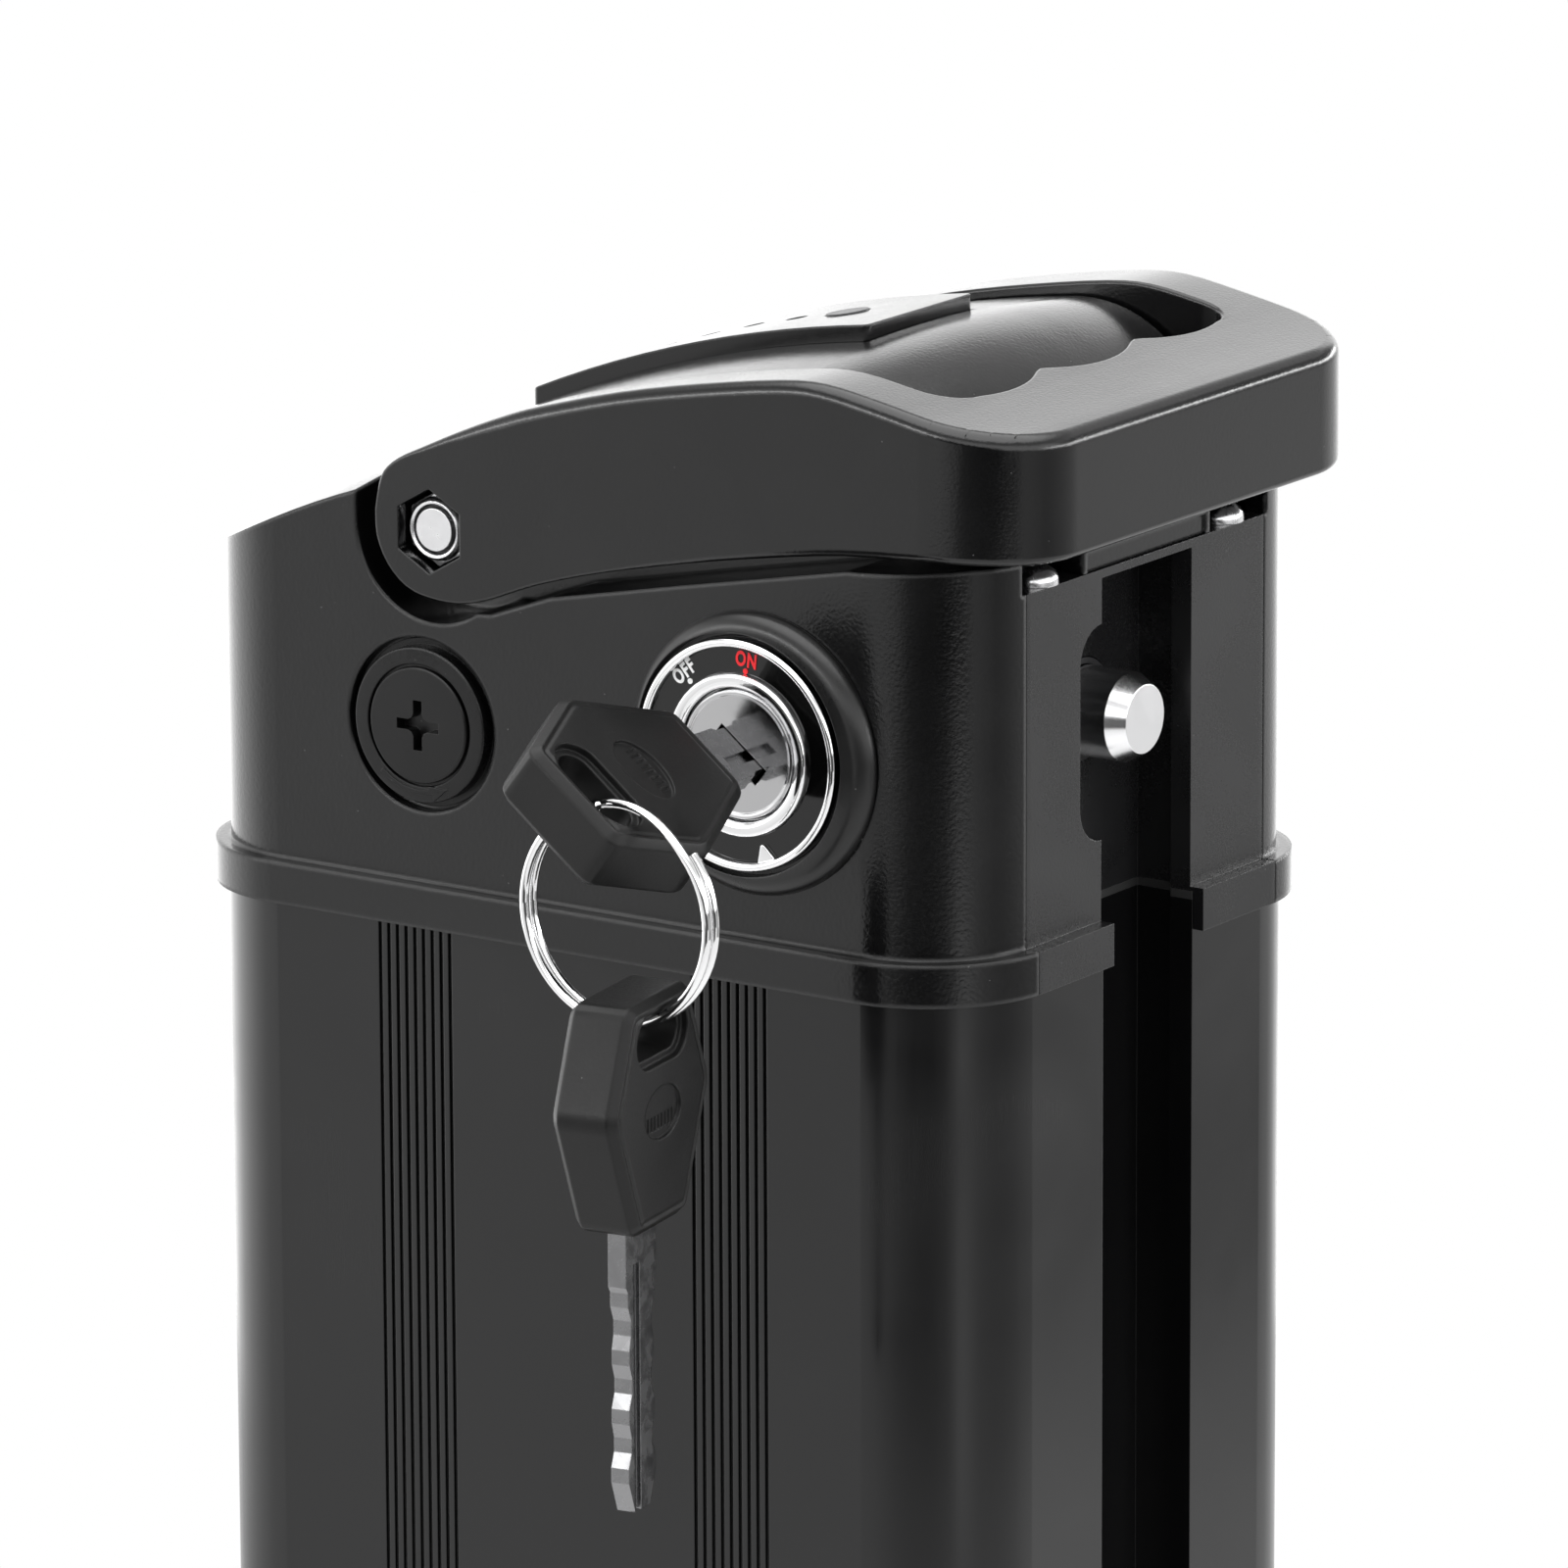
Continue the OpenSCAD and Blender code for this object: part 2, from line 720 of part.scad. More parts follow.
module pivot_bolt() {
    color([0.7, 0.7, 0.72])
    translate([-pivot_back, 0, pivot_z]) rotate([90, 0, 0]) {
        translate([0, 0, -handle_w / 2 + pocket_depth])
            cylinder(d = bolt_d, h = handle_w - 2 * pocket_depth + nut_h);
        translate([0, 0, -handle_w / 2 + pocket_depth - nut_h]) cylinder(d = nut_d, h = nut_h, $fn = 6);
    }
}

module pivot_nut() {
    color([0.7, 0.7, 0.72])
    translate([-pivot_back, -handle_w / 2 + pocket_depth, pivot_z]) rotate([90, 0, 0])
        difference() {
            union() {
                cylinder(d = nut_d, h = collar_share * nut_h, $fn = 6);
                cylinder(d = collar_share * nut_d, h = nut_h);
            }
            translate([0, 0, -cut]) cylinder(d = bolt_d, h = nut_h + 2 * cut);
        }
}

module pivot_sleeve() {
    color([0.6, 0.6, 0.62])
    translate([-pivot_back, arm_in - fit, pivot_z]) rotate([90, 0, 0])
        tube(sleeve_d, bolt_d + 2 * run, 2 * (arm_in - fit));
}

module lock_bezel() {
    band = (bezel_d - trim_d) / 2;
    color([0.08, 0.08, 0.085])
    difference() {
        on_face(lock_x + bezel_shift, lock_z) rotate_extrude() {
            square([trim_d / 2, bezel_h]);
            translate([trim_d / 2, 0]) intersection() {
                square([band, bezel_h]);
                translate([0, bezel_h - band]) circle(band);
            }
        }
        on_face(lock_x, lock_z) translate([0, 0, -cut]) cylinder(d = trim_d + fit, h = bezel_h + 2 * cut);
    }
}

module lock_trim_ring() {
    color([0.85, 0.85, 0.86])
    on_face(lock_x, lock_z) rotate_extrude()
        translate([trim_d / 2 - trim_band, 0]) {
            square([trim_band, trim_h - trim_band / 2]);
            translate([trim_band / 2, trim_h - trim_band / 2]) circle(trim_band / 2);
        }
}

module lock_dial() {
    color([0.03, 0.03, 0.03])
    on_face(lock_x, lock_z) translate([0, 0, seat_h])
        tube(trim_d - 2 * trim_band - fit, core_ring_d + fit, dial_h);
}

dot_d = 1.1;
dot_r = (trim_d / 2 - trim_band + core_ring_d / 2) / 2;
mark_h = 0.15;
// Places of the OFF dot and of the arrow round the dial, and the turn from OFF to ON
off_turn = 131;
arrow_turn = -71.6;
on_turn = 46.6;

// Two dots and an arrowhead that mark the key's positions
module dial_marks() {
    color([0.9, 0.9, 0.9])
    on_face(lock_x, lock_z) translate([0, 0, seat_h + dial_h]) {
        for (a = [off_turn, off_turn - on_turn]) rotate(a) translate([dot_r, 0, 0]) cylinder(d = dot_d, h = mark_h);
        rotate(arrow_turn) linear_extrude(mark_h)
            polygon([[dot_r - dot_d, 0], [dot_r + dot_d, -dot_d], [dot_r + dot_d, dot_d]]);
    }
}

module core_ring() {
    color([0.85, 0.85, 0.86])
    on_face(lock_x, lock_z) translate([0, 0, seat_h])
        tube(core_ring_d, core_d + 4 * fit, trim_h - seat_h);
}

module lock_body() {
    color([0.6, 0.6, 0.6])
    on_face(lock_x, lock_z) difference() {
        union() {
            translate([0, 0, -body_l]) cylinder(d = body_d, h = body_l + seat_h / 2);
            cylinder(d = trim_d - 2 * trim_band - fit, h = seat_h);
        }
        translate([0, 0, -body_l - cut]) cylinder(d = core_d + 2 * run, h = body_l + seat_h + 2 * cut);
    }
}

lock_nut_d = 28;
lock_nut_h = 4;

module lock_nut() {
    color([0.7, 0.7, 0.7])
    on_face(lock_x, lock_z) translate([0, 0, -cap_wall - lock_nut_h]) difference() {
        rotate(30) cylinder(d = lock_nut_d, h = lock_nut_h, $fn = 6);
        translate([0, 0, -cut]) cylinder(d = body_d, h = lock_nut_h + 2 * cut);
    }
}

switch_w = 13;
switch_h = 7;
switch_l = 12;

module switch_block() {
    color([0.15, 0.15, 0.4])
    on_face(lock_x, lock_z) difference() {
        translate([-body_d / 2 - switch_h + cut, -switch_w / 2, -body_l + cut]) cube([switch_h, switch_w, switch_l]);
        translate([0, 0, -body_l]) cylinder(d = body_d, h = switch_l + 2 * cut);
    }
}

module lock_core() {
    color([0.8, 0.8, 0.8])
    on_face(lock_x, lock_z) difference() {
        union() {
            translate([0, 0, -body_l]) cylinder(d = core_d, h = body_l + core_face);
            translate([0, 0, -body_l - cam_gap - cam_t]) cylinder(d = tail_d, h = cam_gap + cam_t + cut);
        }
        rotate(key_turn)
            translate([-blade_w / 2 - fit, -blade_t / 2 - fit, head_out - blade_l - cut])
                cube([blade_w + 2 * fit, blade_t + 2 * fit, blade_l + cut]);
    }
}

module lock_cam() {
    color([0.65, 0.6, 0.45])
    on_face(lock_x, lock_z) translate([0, 0, -body_l - cam_gap - cam_t]) difference() {
        union() {
            cylinder(d = cam_d, h = cam_t);
            rotate(45) translate([peg_r, 0, -peg_l]) cylinder(d = peg_d, h = peg_l + cut / 2);
        }
        translate([0, 0, -cut]) cylinder(r = tail_d / 2 + run, h = cam_t + 2 * cut);
    }
}

module lock_pin() {
    color([0.82, 0.82, 0.83]) {
        // Nose, with a long chamfer at its tip, and a shank of slightly smaller size
        translate([0, 0, lock_z]) rotate([0, 90, 0]) {
            translate([0, 0, channel_x + cap_step]) rotate_extrude()
                polygon([[0, 0], [pin_d / 2, 0], [pin_d / 2, pin_tip_x - pin_chamfer_l - channel_x - cap_step],
                         [pin_d / 2 - pin_chamfer, pin_tip_x - channel_x - cap_step],
                         [0, pin_tip_x - channel_x - cap_step]]);
            translate([0, 0, yoke_x + yoke_w / 2 - cut])
                cylinder(d = shank_d, h = channel_x + cap_step - yoke_x - yoke_w / 2 + cut);
        }
        // Yoke with an upright slot for the cam's peg
        difference() {
            translate([yoke_x - yoke_w / 2, -yoke_t / 2, lock_z - yoke_h / 2]) cube([yoke_w, yoke_t, yoke_h]);
            slab(yoke_t + 2 * cut) translate([yoke_x, lock_z]) {
                translate([-peg_d / 2 - peg_slack, peg_r / 2]) square([peg_d + 2 * peg_slack, peg_r / 2]);
                for (z = [peg_r / 2, peg_r]) translate([0, z]) circle(peg_d / 2 + peg_slack);
            }
        }
    }
}

guide_inset = 5.5;
guide_x = insert_back - guide_inset;

module pin_guide() {
    color([0.1, 0.1, 0.1])
    translate([guide_x, 0, lock_z]) rotate([0, 90, 0]) difference() {
        union() {
            cylinder(d = guide_d, h = channel_x - guide_x);
            cylinder(d = guide_flange_d, h = insert_back - frame_t - guide_x);
        }
        translate([0, 0, -cut]) cylinder(r = pin_d / 2 + run, h = channel_x - guide_x + 2 * cut);
    }
}

frame_rear_x = yoke_x - yoke_w / 2 - pin_travel - spring_turns * spring_wire - 3;
frame_h = 22;

// Bent steel frame that carries the pin's spring behind the insert
module latch_frame() {
    color([0.55, 0.55, 0.57])
    difference() {
        union() {
            translate([frame_rear_x, frame_y, lock_z - frame_h / 2])
                cube([insert_back - frame_rear_x, frame_t, frame_h]);
            translate([frame_rear_x, -yoke_t, lock_z - frame_h / 2])
                cube([frame_t, frame_y + frame_t + yoke_t, frame_h]);
            translate([insert_back - frame_t, -frame_h / 2, lock_z - frame_h / 2]) cube([frame_t, frame_h, frame_h]);
        }
        translate([insert_back - frame_t - cut, 0, lock_z]) rotate([0, 90, 0])
            cylinder(d = guide_d + 2 * fit, h = frame_t + 2 * cut);
        translate([guide_x - cut, 0, lock_z]) rotate([0, 90, 0])
            cylinder(d = guide_flange_d + 2 * fit, h = insert_back - frame_t - guide_x + cut);
    }
}

// Round tube swept along points, with square ends
module sweep(path, r, sides) {
    n = len(path);
    function along(i) = let(d = path[min(i + 1, n - 1)] - path[max(i - 1, 0)]) d / norm(d);
    function side_of(t) = let(s = cross(t, abs(t[1]) < 0.8 ? [0, 1, 0] : [0, 0, 1])) s / norm(s);
    points = [for (i = [0 : n - 1]) let(t = along(i), u = side_of(t), v = cross(t, u))
        for (k = [0 : sides - 1]) path[i] + r * (cos(360 * k / sides) * u + sin(360 * k / sides) * v)];
    walls = [for (i = [0 : n - 2], k = [0 : sides - 1]) let(a = i * sides, b = (k + 1) % sides)
        each [[a + k, a + b, a + sides + b], [a + k, a + sides + b, a + sides + k]]];
    foot = [for (k = [1 : sides - 2]) [0, k + 1, k]];
    head = [for (k = [1 : sides - 2]) let(a = (n - 1) * sides) [a, a + k, a + k + 1]];
    polyhedron(points, concat(walls, foot, head));
}

// Least distance between points of a path that lie more than skip steps apart
function least_gap(path, skip) = min([for (i = [0 : len(path) - 1], j = [i + skip : 1 : len(path) - 1])
    norm(path[j] - path[i])]);

spring_x0 = frame_rear_x + frame_t + spring_wire / 2 + fit;
spring_x1 = yoke_x - yoke_w / 2 - spring_wire / 2 - fit;
spring_steps = 12;
spring_path = [for (i = [0 : spring_turns * spring_steps]) let(a = 360 * i / spring_steps)
    [spring_x0 + (spring_x1 - spring_x0) * i / (spring_turns * spring_steps),
     spring_d / 2 * sin(a), lock_z + spring_d / 2 * cos(a)]];

module pin_spring() {
    color([0.7, 0.7, 0.72]) sweep(spring_path, spring_wire / 2, wire_sides);
}

// Half outline of a key head, from its shoulder to its ring end, as shares of width and length
head_shares = [[0.25, 0], [0.5, 0.52], [0.5, 0.57], [0.31, 0.97], [0.28, 1]];

module head_outline(d) {
    polygon(concat(
        [for (p = head_shares) [p[0] * head_w - d, d + p[1] * (head_l - 2 * d)]],
        [for (i = [len(head_shares) - 1 : -1 : 0])
            [d - head_shares[i][0] * head_w, d + head_shares[i][1] * (head_l - 2 * d)]]));
}

// Slot for the ring, grown by d
module ring_slot(d) {
    square([slot_l - slot_h, slot_h + 2 * d], center = true);
    for (side = [-1, 1]) translate([side * (slot_l - slot_h) / 2, 0]) circle(slot_h / 2 + d);
}

bevel = 1;

// Moulded head of a key: shoulder at y = 0, ring end towards +Y, faces along Z
module head_form() {
    difference() {
        hull() {
            translate([0, 0, -head_t / 2 + bevel]) linear_extrude(head_t - 2 * bevel) head_outline(0);
            translate([0, 0, -head_t / 2]) linear_extrude(head_t) head_outline(bevel);
        }
        translate([0, slot_u, -head_t / 2 - cut]) linear_extrude(head_t + 2 * cut) ring_slot(0);
        for (side = [0, 1]) mirror([0, 0, side]) {
            translate([0, slot_u, head_t / 2 - slot_sink]) linear_extrude(slot_sink + cut) ring_slot(slot_rim);
            translate([0, oval_u, head_t / 2 - oval_sink]) linear_extrude(oval_sink + cut)
                scale([oval_w, oval_w * oval_share]) circle(0.5);
        }
        translate([-blade_w / 2, -cut, -blade_t / 2]) cube([blade_w, head_grip + cut, blade_t]);
    }
}

oval_u = 13.2;
oval_w = 9;
oval_share = 0.67;
oval_sink = 0.4;
head_grip = 8;

// Depths of the key's cuts along both edges, as shares of its width
cut_shares = [0.06, 0.16, 0.1, 0.18, 0.08, 0.15, 0.05];

// Reach of the cuts, plain part before them, groove's length and width, as shares of the blade's size
cut_reach_share = 0.72;
plain_share = 0.2;
groove_len_share = 0.9;
groove_w_share = 0.2;

// Blade with its cuts: root inside the head, tip towards -Y
module blade_form() {
    pitch = cut_reach_share * blade_l / len(cut_shares);
    half = concat(
        [[blade_w / 2, head_grip], [blade_w / 2, -plain_share * blade_l]],
        [for (i = [0 : len(cut_shares) - 1], k = [0, 1])
            [(0.5 - cut_shares[i]) * blade_w, -plain_share * blade_l - (i + plain_share + k / 2) * pitch]],
        [[blade_w / 4, -blade_l]]);
    difference() {
        translate([0, 0, -blade_t / 2]) linear_extrude(blade_t)
            polygon(concat(half, [for (i = [len(half) - 1 : -1 : 0]) [-half[i][0], half[i][1]]]));
        translate([-blade_w / 4, -blade_l - cut, blade_t / 4]) cube([groove_w_share * blade_w, groove_len_share * blade_l, blade_t]);
    }
}

// Places a key in the lock, turned to its rest position
module in_lock() {
    on_face(lock_x, lock_z) rotate(key_turn) translate([0, 0, head_out]) rotate([90, 0, 0]) children();
}

// Places the spare key on the ring
module on_ring() {
    translate([ring_cx + ring_mean / 2 * cos(ring_angle), ring_y, ring_cz + ring_mean / 2 * sin(ring_angle) - hang])
        rotate([0, 0, spare_yaw]) rotate([90, 0, 90]) translate([-spare_slide, -slot_u, 0]) children();
}

module key_head() {
    color([0.07, 0.07, 0.07]) in_lock() head_form();
}

module key_blade() {
    color([0.75, 0.75, 0.76]) in_lock() blade_form();
}

module spare_key_head() {
    color([0.07, 0.07, 0.07]) on_ring() head_form();
}

module spare_key_blade() {
    color([0.75, 0.75, 0.76]) on_ring() blade_form();
}

// Split ring: two loops side by side, joined by one short jog
ring_steps = 24;
ring_jog = 30;
ring_sweep = 720 - 2 * ring_jog;
ring_start = 100;
ring_side = (ring_wire + ring_gap) / 2;
function jog(a) = a < 360 - 2 * ring_jog ? -1 : a > 360 ? 1 : -cos((a - 360 + 2 * ring_jog) * 90 / ring_jog);
ring_path = [for (i = [0 : ring_sweep * ring_steps / 360]) let(a = i * 360 / ring_steps)
    [ring_cx + ring_mean / 2 * cos(a + ring_start), ring_y + ring_side * jog(a),
     ring_cz + ring_mean / 2 * sin(a + ring_start)]];

module key_ring() {
    color([0.8, 0.8, 0.8]) sweep(ring_path, ring_wire / 2, wire_sides);
}

module fuse_socket() {
    color([0.12, 0.12, 0.12])
    on_face(fuse_x, fuse_z) translate([0, 0, -fuse_socket_l]) difference() {
        cylinder(d = fuse_socket_d, h = fuse_socket_l - fuse_recess);
        translate([0, 0, cap_wall]) cylinder(d = fuse_socket_d - cap_wall, h = fuse_socket_l);
    }
}

fuse_cap_t = 1.4;
// Raised disc, cross slot and groove of the fuse cap, as shares of its diameter
disc_share = 0.68;
cross_l_share = 0.3;
cross_w_share = 0.07;
groove_out_share = 0.86;
groove_in_share = 0.8;

module fuse_cap() {
    color([0.1, 0.1, 0.1])
    on_face(fuse_x, fuse_z) difference() {
        union() {
            translate([0, 0, -fuse_recess + fit]) cylinder(d = fuse_cap_d, h = fuse_recess + fuse_cap_t / 2);
            translate([0, 0, fuse_cap_t / 2 - fit]) cylinder(d = disc_share * fuse_cap_d, h = fuse_cap_t / 2);
        }
        for (a = [0, 90]) rotate(a)
            translate([-cross_l_share / 2 * fuse_cap_d, -cross_w_share / 2 * fuse_cap_d, -fit])
                cube([cross_l_share * fuse_cap_d, cross_w_share * fuse_cap_d, fuse_cap_t + cut]);
        translate([0, 0, fuse_cap_t / 2 - fuse_groove]) difference() {
            cylinder(d = groove_out_share * fuse_cap_d, h = fuse_cap_t);
            translate([0, 0, -cut]) cylinder(d = groove_in_share * fuse_cap_d, h = fuse_cap_t + 2 * cut);
        }
    }
}

fuse_groove = 0.4;
carrier_d = 11;
carrier_l = 8;

module fuse_carrier() {
    color([0.15, 0.15, 0.15])
    on_face(fuse_x, fuse_z) translate([0, 0, -fuse_recess - carrier_l]) difference() {
        cylinder(d = carrier_d, h = carrier_l);
        translate([0, 0, -cut]) cylinder(d = fuse_d + fit, h = carrier_l - cut);
    }
}

module fuse_tube() {
    color([0.8, 0.85, 0.9, 0.5])
    on_face(fuse_x, fuse_z) translate([0, 0, -fuse_recess - 2 * cut - fuse_l + fuse_cap_l])
        cylinder(d = fuse_d - 2 * fit, h = fuse_l - 2 * fuse_cap_l);
}

fuse_cap_l = 5.6;

module fuse_ends() {
    color([0.8, 0.8, 0.78])
    on_face(fuse_x, fuse_z) for (z = [-fuse_recess - 2 * cut - fuse_cap_l, -fuse_recess - 2 * cut - fuse_l])
        translate([0, 0, z]) cylinder(d = fuse_d, h = fuse_cap_l);
}

// Centres of the cells in the XZ plane
function cell_x(i) = cells_x + (i - (cell_cols - 1) / 2) * cell_pitch;
function cell_z(j) = cells_z + cell_pitch / 2 + j * cell_pitch;

module cells() {
    color([0.2, 0.45, 0.6])
    for (i = [0 : cell_cols - 1], j = [0 : cell_rows - 1])
        translate([cell_x(i), cell_l / 2, cell_z(j)]) rotate([90, 0, 0]) cylinder(d = cell_d, h = cell_l, $fn = cell_sides);
}

// Holder plate: side is -1 for the wide face with the lock, 1 for the other
module cell_holder(side) {
    difference() {
        translate([cells_x - pack_w / 2, side * (cell_l / 2 - holder_t / 2) - holder_t / 2, cells_z])
            cube([pack_w, holder_t, pack_h]);
        for (i = [0 : cell_cols - 1], j = [0 : cell_rows - 1])
            translate([cell_x(i), side * (cell_l / 2 - holder_t / 2) + holder_t, cell_z(j)]) rotate([90, 0, 0])
                cylinder(d = cell_d + 2 * fit, h = 2 * holder_t, $fn = cell_sides);
    }
}

module cell_holder_front() {
    color([0.2, 0.2, 0.22]) cell_holder(-1);
}

module cell_holder_rear() {
    color([0.2, 0.2, 0.22]) cell_holder(1);
}

module nickel_strips() {
    color([0.75, 0.75, 0.7])
    for (side = [-1, 1], j = [0 : cell_rows - 1])
        translate([cells_x - pack_w / 2 + cell_pitch / 4, side * (cell_l / 2 + strip_t / 2) - strip_t / 2,
                   cell_z(j) - strip_w / 2])
            cube([pack_w - cell_pitch / 2, strip_t, strip_w]);
}

pad_w_share = 0.46;
pad_w = pad_w_share * pack_w;
pad_t = 40;

// Foam pads that hold the cell pack between the caps
module end_pads() {
    color([0.25, 0.25, 0.27])
    for (z = [[base_h, cells_z - base_h], [cells_z + pack_h, top_z + lap - cells_z - pack_h]])
        translate([cells_x - pack_w / 2 + holder_t, -pad_t / 2, z[0]]) cube([pad_w, pad_t, z[1]]);
}

board_h_share = 0.59;
board_w = 44;
board_h = board_h_share * pack_h;
board_z = cells_z + 3 * cell_pitch;

module bms_board() {
    color([0.05, 0.3, 0.15])
    translate([cells_x + pack_w / 2 + cap_step, -board_w / 2, board_z]) cube([board_t, board_w, board_h]);
}

chip_count = 8;
chip_w = 10;
chip_h = 9;
chip_t = 3.6;

// Power transistors in two rows and one tall capacitor block on the board
module bms_parts() {
    color([0.12, 0.12, 0.12])
    for (i = [0 : chip_count - 1], side = [-1, 1])
        translate([cells_x + pack_w / 2 + cap_step + board_t, side * board_w / 4 - chip_w / 2,
                   board_z + (i + 0.5) * board_h / chip_count - chip_h / 2])
            cube([chip_t, chip_w, chip_h]);
}

lead_d = 3.4;
// Rounding of a lead's corners, as a share of its diameter, and the steps in it
bend_share = 1.4;
bend_steps = 4;

// Path through corner points p with each inner corner rounded over length r
function eased(p, r, n) = concat([p[0]],
    [for (i = [1 : len(p) - 2], k = [0 : n])
        let(a = p[i - 1] - p[i], b = p[i + 1] - p[i], t = k / n,
            s = p[i] + r * a / norm(a), e = p[i] + r * b / norm(b))
        (1 - t) * (1 - t) * s + 2 * t * (1 - t) * p[i] + t * t * e],
    [p[len(p) - 1]]);

// Lead from the protection board down to contact number i of the discharge socket
module lead(side, i) {
    x = cells_x + pack_w / 2 + cap_step + board_t;
    y = side * (board_w / 2 - lead_d);
    top = board_z - lead_d;
    corners = [[x + lead_d, y, board_z + lead_d], [x + lead_d, y, top - 3 * lead_d],
               [x + lead_d, side * (rail_inner / 2 + case_wall + lead_d), cells_z],
               [contact_x(i), side * contact_t / 2, socket_h + 4 * lead_d],
               [contact_x(i), 0, socket_h + 2 * lead_d],
               [contact_x(i), 0, socket_h - cap_wall / 2]];
    sweep(eased(corners, bend_share * lead_d, bend_steps), lead_d / 2, lead_sides);
}

module positive_lead() {
    color([0.7, 0.1, 0.1]) lead(1, contact_count - 1);
}

module negative_lead() {
    color([0.08, 0.08, 0.08]) lead(-1, contact_count - 2);
}

module bottom_cap() {
    color([0.13, 0.13, 0.135])
    difference() {
        union() {
            linear_extrude(base_h) rounded(cap_w, cap_t, cap_r);
            translate([0, 0, base_h - band_h]) linear_extrude(band_h) rounded(band_w, band_t, band_r);
        }
        translate([0, 0, base_h - shoulder]) linear_extrude(shoulder + cut)
            rounded(case_w + 2 * fit, case_t + 2 * fit, case_r + fit);
        // Inside, with posts for the screws and walls round the channel
        translate([0, 0, cap_wall]) linear_extrude(base_h) difference() {
            rounded(cap_w - 2 * cap_wall, cap_t - 2 * cap_wall, cap_r - cap_wall);
            translate([channel_x - back_wall, -rail_inner / 2 - cap_wall])
                square([rail_depth + back_wall, rail_inner + 2 * cap_wall]);
            port_places() circle(d = port_d + 2 * fit);
            // Cup round the charge socket
            translate([-cap_w / 2, -jack_recess_d / 2 - back_wall])
                square([jack_recess + back_wall, jack_recess_d + 2 * back_wall]);
        }
        translate([0, 0, -cut]) linear_extrude(base_h + 2 * cut) rail_section();
        port_places_cut();
        // Window for the discharge socket, open downwards
        translate([-socket_w / 2 - fit, -socket_t / 2 - fit, -cut])
            cube([socket_w + 2 * fit, socket_t + 2 * fit, cap_wall + 2 * cut]);
        // Recess and bore for the charge socket in the rear face
        translate([-cap_w / 2 - cut, 0, charge_z]) rotate([0, 90, 0])
            cylinder(d = jack_recess_d, h = jack_recess + cut);
        translate([-cap_w / 2, 0, charge_z]) rotate([0, 90, 0])
            cylinder(d = jack_thread_d + 2 * fit, h = jack_recess + back_wall + cut);
    }
    // Two ears that hold the pin of the charge cover
    for (side = [-1, 1]) difference() {
        translate([-cap_w / 2 - ear_out, ear_y - ear_w / 2, charge_z + side * ear_z - ear_t / 2])
            cube([ear_out + cap_wall / 2, ear_w, ear_t]);
        translate([-cap_w / 2 - hinge_out, ear_y, 0]) cylinder(d = hinge_d, h = base_h);
    }
}

hinge_d = 1.6;
hinge_out = 1.9;
ear_y = 11.5;
ear_z = 4.4;
ear_t = 2;
ear_w = 4;
ear_out = hinge_out + ear_w / 2;

screw_sink_h = 2.6;
bottom_screw_d = 3.6;
bottom_head_d = 6.6;
bottom_grip = 6;
bottom_screw_l = base_h + bottom_grip;

// Screw holes through the posts, with sinks for the heads
module port_places_cut() {
    translate([0, 0, -cut]) linear_extrude(base_h) port_places() circle(d = bottom_screw_d + 2 * fit);
    translate([0, 0, -cut]) linear_extrude(screw_sink_h + cut) port_places() circle(d = bottom_head_d + 2 * fit);
}

module bottom_screws() {
    color([0.3, 0.3, 0.3])
    port_places() translate([0, 0, screw_sink_h]) mirror([0, 0, 1])
        pan_screw(port_hole_d, bottom_screw_l - screw_sink_h, bottom_head_d, screw_sink_h - 2 * fit);
}

contact_pitch = 10;
contact_count = 4;
contact_w = 2;
contact_t = 9;

module discharge_socket() {
    color([0.08, 0.08, 0.08])
    difference() {
        union() {
            translate([-socket_w / 2, -socket_t / 2, 0]) cube([socket_w, socket_t, socket_h]);
            translate([-socket_w / 2 - cap_wall, -socket_t / 2 - cap_wall, cap_wall])
                cube([socket_w + 2 * cap_wall, socket_t + 2 * cap_wall, cap_wall]);
        }
        for (i = [0 : contact_count - 1])
            translate([contact_x(i) - 1.5 * contact_w, -contact_t / 2 - fit, -cut])
                cube([3 * contact_w, contact_t + 2 * fit, socket_h - cap_wall + cut]);
        // Holes for the two power leads
        for (i = [contact_count - 2, contact_count - 1])
            translate([contact_x(i), 0, 0]) cylinder(d = lead_d + 4 * fit, h = socket_h + cut);
    }
}

// Place of slot number i along the socket
function contact_x(i) = (i - (contact_count - 1) / 2) * contact_pitch;

// Pairs of spring blades in the socket's slots
module contact_blades() {
    color([0.8, 0.65, 0.3])
    for (i = [0 : contact_count - 1], side = [-1, 1])
        translate([contact_x(i) + side * contact_w - contact_w / 2, -contact_t / 2, cap_wall])
            cube([contact_w, contact_t, socket_h - 2 * cap_wall]);
}

jack_thread_d = 12;
jack_hole_d = 3.2;

module charge_socket() {
    color([0.75, 0.75, 0.7])
    translate([-cap_w / 2 + jack_recess, 0, charge_z]) rotate([0, 90, 0]) difference() {
        union() {
            translate([0, 0, -jack_flange_t]) cylinder(d = jack_recess_d - 4 * fit, h = jack_flange_t);
            cylinder(d = jack_thread_d, h = back_wall + jack_nut_t);
            translate([0, 0, -jack_l]) cylinder(d = jack_d, h = jack_l);
        }
        translate([0, 0, -jack_l - cut]) cylinder(d = jack_hole_d, h = jack_l + cut);
    }
}

jack_flange_t = 1;
jack_nut_t = 2.4;
jack_nut_rim = 5.6;

module charge_nut() {
    color([0.7, 0.7, 0.7])
    translate([-cap_w / 2 + jack_recess + back_wall, 0, charge_z]) rotate([0, 90, 0]) difference() {
        rotate(30) cylinder(d = jack_thread_d + jack_nut_rim, h = jack_nut_t, $fn = 6);
        translate([0, 0, -cut]) cylinder(d = jack_thread_d, h = jack_nut_t + 2 * cut);
    }
}

flap_d = 15.4;
flap_t = 1.8;
lip_t = 1.1;
lip_gap = 0.5;

